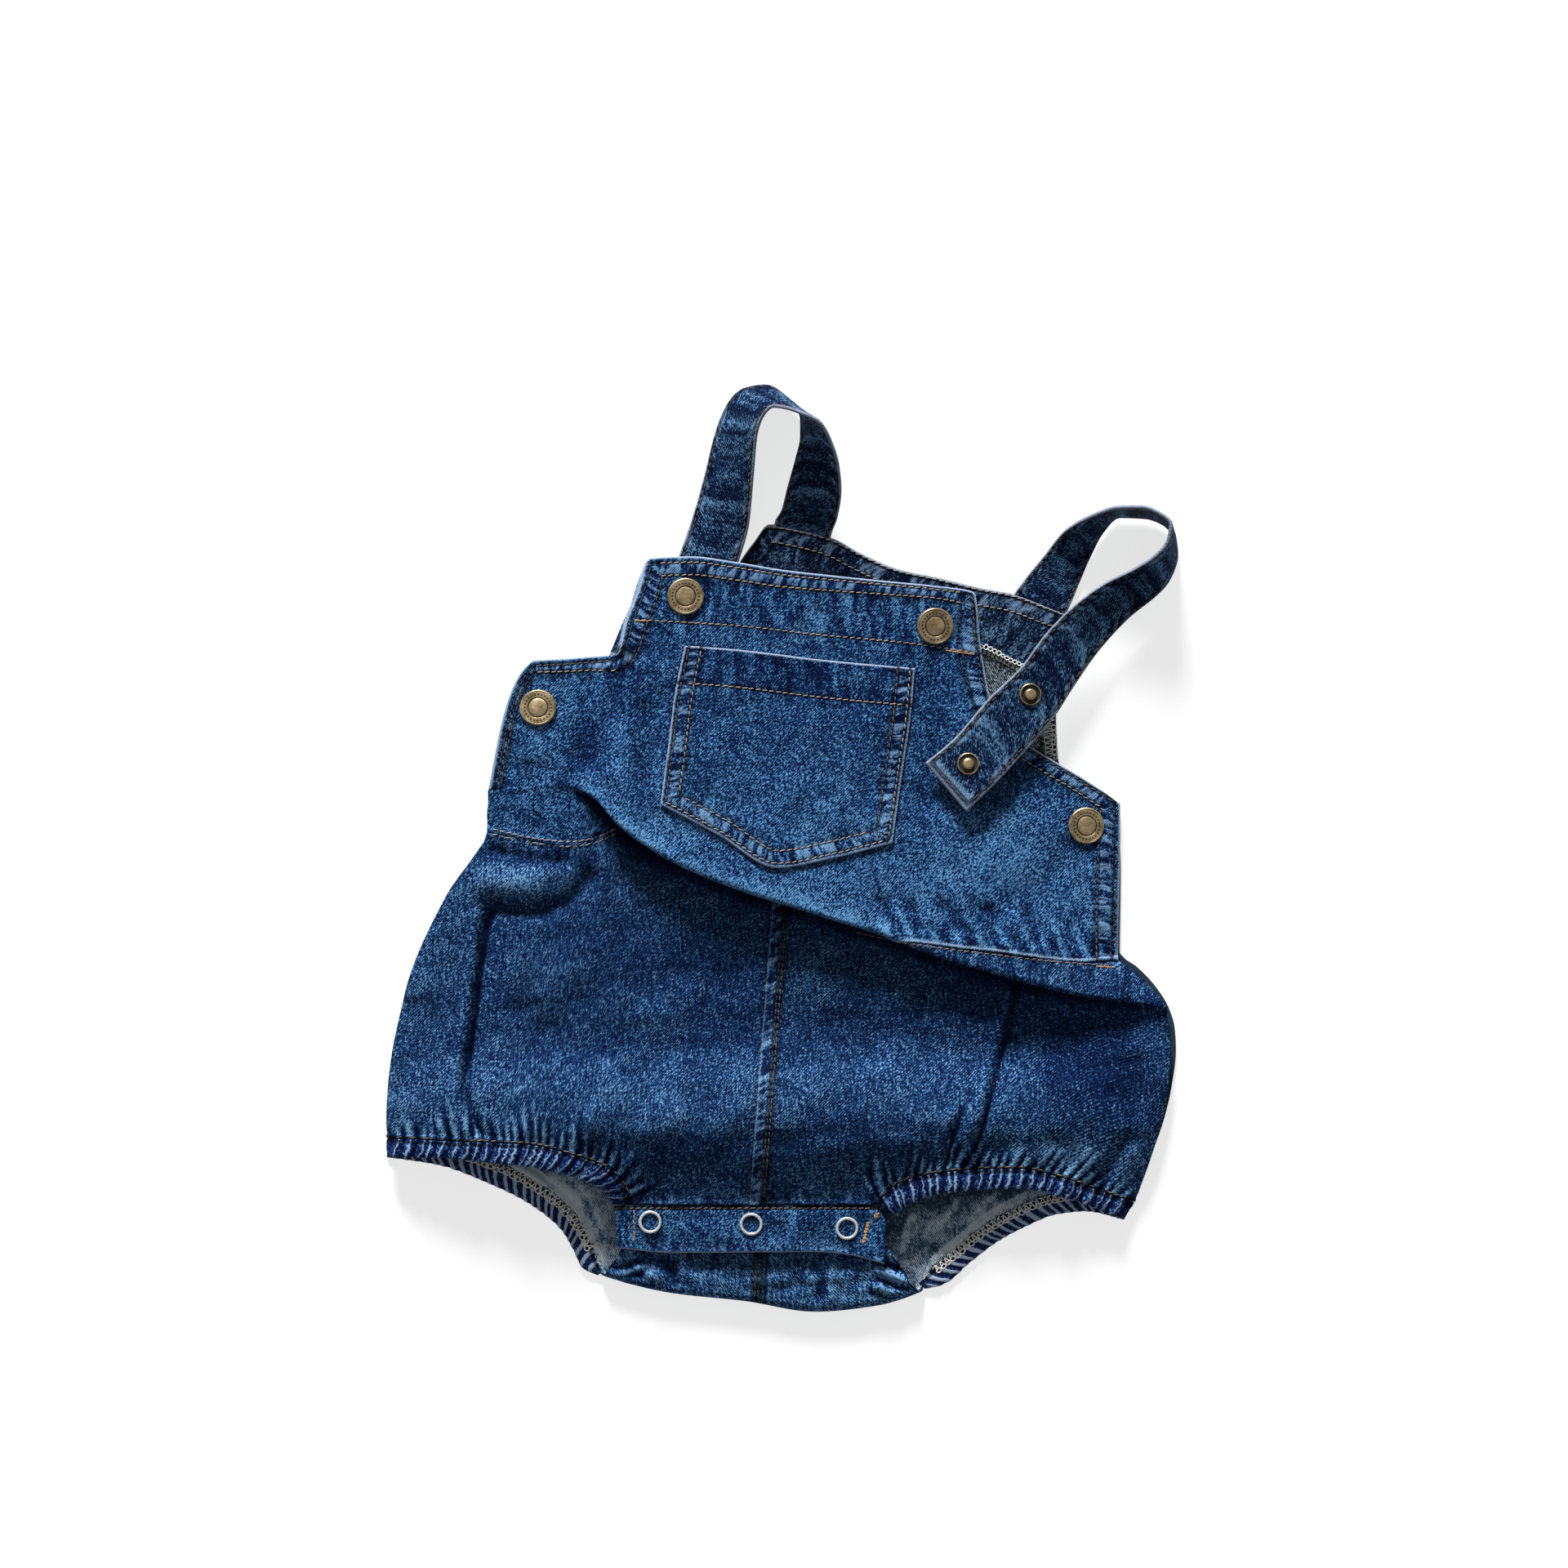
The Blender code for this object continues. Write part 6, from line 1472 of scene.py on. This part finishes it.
def sewOn(trees, line, thread, pitch=sewing["pitch"], length=sewing["length"], radius=sewing["radius"], loose=0.12):
    fine, step = spacedAlong(line), sewing["fine"]
    for k in range(int((len(fine) - 1) * step / pitch)):
        start = int(round((k * pitch + stitchDice.uniform(0, 0.25)) / step))
        end = min(start + int(round(length * stitchDice.uniform(0.9, 1.08) / step)), len(fine) - 1)
        way = fine[end][:2] - fine[start][:2]
        slant = np.array([-way[1], way[0]]) / max(math.hypot(*way), 1e-6) * sewing["slant"]
        aside = stitchDice.normal(0, loose * 0.5, 2) - slant
        ends = [dropped(trees, *(fine[i][:2] + aside * sign)) for i, sign in ((start, 1), (end, -1))]
        if ends[0][0] is None or ends[1][0] is None or abs(ends[0][0].z - ends[1][0].z) > sewing["step"] * mm:
            continue
        up = (ends[0][1] + ends[1][1]).normalized()
        stitches[thread].append((*[np.array(e[0]) / mm for e in ends], np.array(up), radius))


def threadMesh(thread):
    rows = stitches[thread]
    a, b = np.array([r[0] for r in rows]), np.array([r[1] for r in rows])
    up, radius = np.array([r[2] for r in rows]), np.array([r[3] for r in rows])[:, None]
    way = b - a
    along = way / np.maximum(np.linalg.norm(way, axis=1, keepdims=True), 1e-6)
    side = np.cross(up, along)
    side /= np.maximum(np.linalg.norm(side, axis=1, keepdims=True), 1e-6)
    over = np.cross(along, side)
    points = []
    for share, lift, size in ((0.0, -0.55, 0.55), (0.2, 0.35, 0.95), (0.8, 0.35, 0.95), (1.0, -0.55, 0.55)):
        middle = a + way * share + over * lift * radius
        points += [middle + (side * c + over * s * 0.8) * radius * size for c, s in rim]
    points = np.stack(points, axis=1)
    shape = [[5 * i + k, 5 * i + 5 + k, 5 * i + 5 + (k + 1) % 5, 5 * i + (k + 1) % 5]
             for i in range(3) for k in range(5)]
    faces = [[start + corner for corner in face] for start in range(0, len(rows) * 20, 20)
             for face in shape + [[0, 1, 2, 3, 4], [19, 18, 17, 16, 15]]]
    mesh = bpy.data.meshes.new(f"stitches_{thread}")
    mesh.from_pydata((points.reshape(-1, 3) * mm).tolist(), [], faces)
    mesh.materials.append(threads[thread])
    piece = added(mesh.name, mesh)
    mesh.shade_smooth()
    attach(piece, "root")


def headings(line):  # the way along a line and the way to its left, at each of its points
    way = np.gradient(line, axis=0)
    way /= np.linalg.norm(way, axis=1, keepdims=True)
    return way, np.stack([-way[:, 1], way[:, 0]], -1)


def insetOf(line, distance, inward=-1):  # a line moved to its right (or left, with 1), by one distance or many
    return line[:, :2] + headings(line[:, :2])[1] * inward * np.reshape(distance, (-1, 1))


def partOf(line, start, end, count=80):  # a stretch of a table's smooth line between two of its rows
    steps = stepsAlong(line)
    return smoothLine(line)(np.linspace(steps[start], steps[end], count) / steps[-1])


hemRuns = (  # first and last row of the hem's table, thread of its outer and inner row
    (0, 5, "navy", "navy"), (5, 8, "brown", "tan"), (8, 11, "navy", "brown"), (11, 18, "tan", "tan"),
    (18, 21, "brown", "navy"), (22, 26, "brown", "tan"), (26, 29, "navy", "brown"),
)
for start, end, outer, inner in hemRuns:
    run = partOf(hemTable, start, end)
    for column, thread in ((2, outer), (3, inner)):
        row = insetOf(run, run[:, column])
        sewOn(onBodice, row[3:-3], thread)
sewOn(onBodice, sampled(facingRow, 60), "tan")
bartack = {"pitch": 0.9, "length": 1.0, "radius": 0.33}
for line in (((-60.5, 93.8), (-54.5, 93.5)), ((68.5, 81.5), (80.5, 79.8))):
    sewOn(onBodice, line, "orange", **bartack)
waistLeft = ((-122.5, 6.0), (-101.3, 1.4), (-87.7, 0.1), (-78.0, 1.4), (-72.0, 3.8), (-66.0, 7.0))
onWaist = surfaceOf(bodicePiece, bloomerPieces["left"])
for lift in (0.0, 2.0):
    sewOn(onWaist, sampled(waistLeft, 60) + (0, lift), "tan")

onPocket = surfaceOf(pocketPiece)
for distance, names in ((pocket["rows"][0], ("brown", "tan", "tan")), (pocket["rows"][1], ("tan", "tan", "brown"))):
    for line, inward, thread in zip((pocketLeft, pocketFoot, pocketRight), (1, 1, -1), names):
        row = insetOf(partOf(line, 0, len(line) - 1), distance, inward)
        trim = int(len(row) * (distance - 1) / 90) + 1  # to the corners of the row
        sewOn(onPocket, row[trim if line is pocketFoot else 1:-trim], thread)
sewOn(onPocket, insetOf(partOf(pocketTop, 0, 3), pocket["hemRow"])[2:-1], "tan")

onBloomers = surfaceOf(*bloomerPieces.values())
for distance, thread in zip(bloomer["seamRows"], ("navy", "brown")):
    sewOn(onBloomers, insetOf(np.linspace(*centreLine, 80), distance, 1)[10:-2], thread)
rightSeam = ((25.8, -32.3), (43.2, -36.4), (61.9, -39.4), (86.7, -42.5), (115.9, -45.9), (139.4, -47.6))
sewOn(onBloomers + onBodice, sampled(rightSeam, 60, 0.05) + (0, -1.7), "rust")
sewOn(onBloomers + onBodice, ((130.5, -49.4), (138.6, -50.0)), "orange", **bartack)
for side, inward in (("left", 1), ("right", -1)):
    sewOn(onBloomers, insetOf(innerEdge(f"front_{side}", 0.01, 0.99), bloomer["casingRow"], inward), "rust")
sewOn(onBand, partOf(bandTop, 0, 2) + (0, -band["row"]), "rust")
sewOn(onBand, ((-60.8, -150.2), (-60.6, -164.2)), "orange", pitch=2.2)
cornerTack = {"pitch": 1.3, "length": 1.5, "radius": 0.3, "loose": 0.5}
for start, end, wide in (((34.6, -164.6), (36.9, -154.6), 3), ((39.4, -154.4), (43.6, -147.2), 4)):
    for k in range(wide):
        aside = np.array([0.45 * (k - wide / 2), 0.15 * k])
        sewOn(onBand + onBloomers, (np.array(start) + aside, np.array(end) + aside), "orange", **cornerTack)
print("rows sewn", {name: len(rows) for name, rows in stitches.items()})


def onGrid(grid, i, k):  # between the points of a grid
    row, column = min(int(i), len(grid) - 2), min(int(k), len(grid[0]) - 2)
    near, far = [mixed(grid[row, at], grid[row + 1, at], i - row) for at in (column, column + 1)]
    return mixed(near, far, k - column)


def sewStrap(side, distance):  # along both edges and across the last end, on both faces
    points, normals, along, across = strapGrids[side]
    length, width = along[-1], across[-1]
    down = np.linspace(1.5, length - 1.5, 400)
    for s, t in ((np.full(400, distance), down), (np.full(400, width - distance), down),
                 (np.linspace(1.8, width - 1.8, 60), np.full(60, length - distance))):
        size = stepsAlong(list(zip(s, t)))
        for start in np.arange(0, size[-1] - sewing["pitch"], sewing["pitch"]):
            ends = []
            for place in (start, start + sewing["length"]):
                i = np.interp(np.interp(place, size, s), across, np.arange(len(across)))
                k = np.interp(np.interp(place, size, t), along, np.arange(len(along)))
                ends.append([onGrid(grid, i, k) for grid in (points, normals)])
            for face in (1, -1):
                a, b = [point + originShift + normal * face * sewing["overStrap"] for point, normal in ends]
                stitches["brown"].append((a, b, ends[0][1] * face, sewing["radius"]))


sewStrap("left", 1.8)
sewStrap("right", 1.6)

onBack = surfaceOf(*backPieces)
for distance in (1.2, 7.4):
    sewOn(onBack, insetOf(partOf(backTop, 7, 16, 160), distance)[2:-2], "tan")
for x in np.arange(-12.4, -9.0, 1.2):  # rows of the centre seam where it is turned up
    sewOn(onBack, ((x + 1.0, -170.0), (x + 0.6, -189.5)), "navy")


chain = [(0.62 * x, y) for x, y in circle(7)]


def overlock(trees, line, width, pitch, radius, outer=1):  # loops of thread over a cut edge, chained on one side
    fine = spacedAlong(line)
    way, aside = headings(fine)
    aside = aside * outer
    step = int(round(pitch / sewing["fine"]))
    for k in range(0, len(fine) - step - 1, step):
        wobble = stitchDice.uniform(-0.25, 0.25, 4)
        corners = [fine[k + ahead] + aside[k] * sign * (width / 2 + off)
                   for ahead, sign, off in zip((0, step // 2, step), (1, -1, 1), wobble)]
        middle = fine[k + step // 2] + aside[k] * (width / 2 - 0.4 + wobble[3])
        loop = [middle + way[k] * px * pitch * 0.8 + aside[k] * py * (0.85 + wobble[1]) for px, py in chain]
        for places, thick in ((corners, radius * 0.8), (loop, radius)):
            hits = [dropped(trees, *place) for place in places]
            if any(hit[0] is None for hit in hits):
                continue
            for (a, up), (b, _up) in zip(hits, hits[1:]):
                if abs(a.z - b.z) < sewing["loopStep"] * mm:
                    stitches["cream"].append((np.array(a) / mm, np.array(b) / mm, np.array(up), thick))
    sewOn(trees, fine - aside * width * 0.42, "cream", pitch=1.9, length=1.8, radius=radius * 0.8, loose=0.4)


for side, start, end, outer in (("back_left", 0.1, 0.95, -1), ("back_right", 0.12, 0.97, 1)):
    line = casingLines[side](np.linspace(start, end, 90))
    line = mixed(line[:, :2], line[:, 2:], 0.14)
    overlock(onBack + surfaceOf(casingPieces[side]), line, width=3.2, pitch=2.5, radius=0.33, outer=outer)
overlock(onBack, partOf(facingFoot, 3, 6), width=3.2, pitch=1.9, radius=0.26)
overlock(onBack, ((112.2, 57.0), (111.6, 46.0), (112.6, 34.0)), width=4.6, pitch=2.1, radius=0.26)
for thread in stitches:
    threadMesh(thread)
print("sewing done")


# --- stage, light and camera

studio = {"sun": 8.0, "sunAngle": 13.0, "sunHeight": 19.5, "sunTurn": 9.0, "world": 0.26,
          "floor": (0.33, 0.33, 0.33), "floorSize": 8, "floorHeight": -0.0004, "glow": 0.72}


def makeStage():
    nothingSelected()
    bpy.ops.mesh.primitive_plane_add(size=studio["floorSize"], location=(0, 0, studio["floorHeight"]))
    floor = bpy.context.object
    floor.name = "floor"
    paper = Finish("Paper_floor", Roughness=0.9, Specular_IOR_Level=0.1, Emission_Color=(1.0, 1.0, 1.0, 1.0),
                   Emission_Strength=studio["glow"])  # a sheet lit from behind, which keeps the shadow light
    grains = paper.noise(paper.place(), 300.0)
    low = [c * 0.985 for c in studio["floor"]]
    paper.feed("Base Color", paper.blend(grains.ramp(0.3, 0.7), rgb(*low), rgb(*studio["floor"])))
    floor.data.materials.append(paper.material)


def addSun():  # a low, wide light from beyond the neck, a little from the left
    data = bpy.data.lights.new("key", "SUN")
    data.energy, data.angle = studio["sun"], math.radians(studio["sunAngle"])
    lamp = added("key", data)
    height, turn = math.radians(studio["sunHeight"]), math.radians(studio["sunTurn"])
    towards = Vector((-math.sin(turn) * math.cos(height), math.cos(turn) * math.cos(height), math.sin(height)))
    lamp.rotation_euler = towards.to_track_quat("Z", "Y").to_euler()


makeStage()
addSun()
world = bpy.data.worlds.new("studio")
bpy.context.scene.world = world
world.use_nodes = True
background = world.node_tree.nodes["Background"].inputs
background["Color"].default_value = (1, 1, 1, 1)
background["Strength"].default_value = studio["world"]
bpy.context.scene.view_settings.view_transform = "Standard"

view = {"at": (0.0007, 0.0265, 2.2), "width": 0.6528, "sensor": 36.0}  # straight down, and how wide it sees
cameraData = bpy.data.cameras.new("camera")
cameraData.sensor_width, cameraData.lens = view["sensor"], view["sensor"] * view["at"][2] / view["width"]
camera = added("camera", cameraData)
camera.location = view["at"]
bpy.context.scene.camera = camera
print("stage, light and camera done")
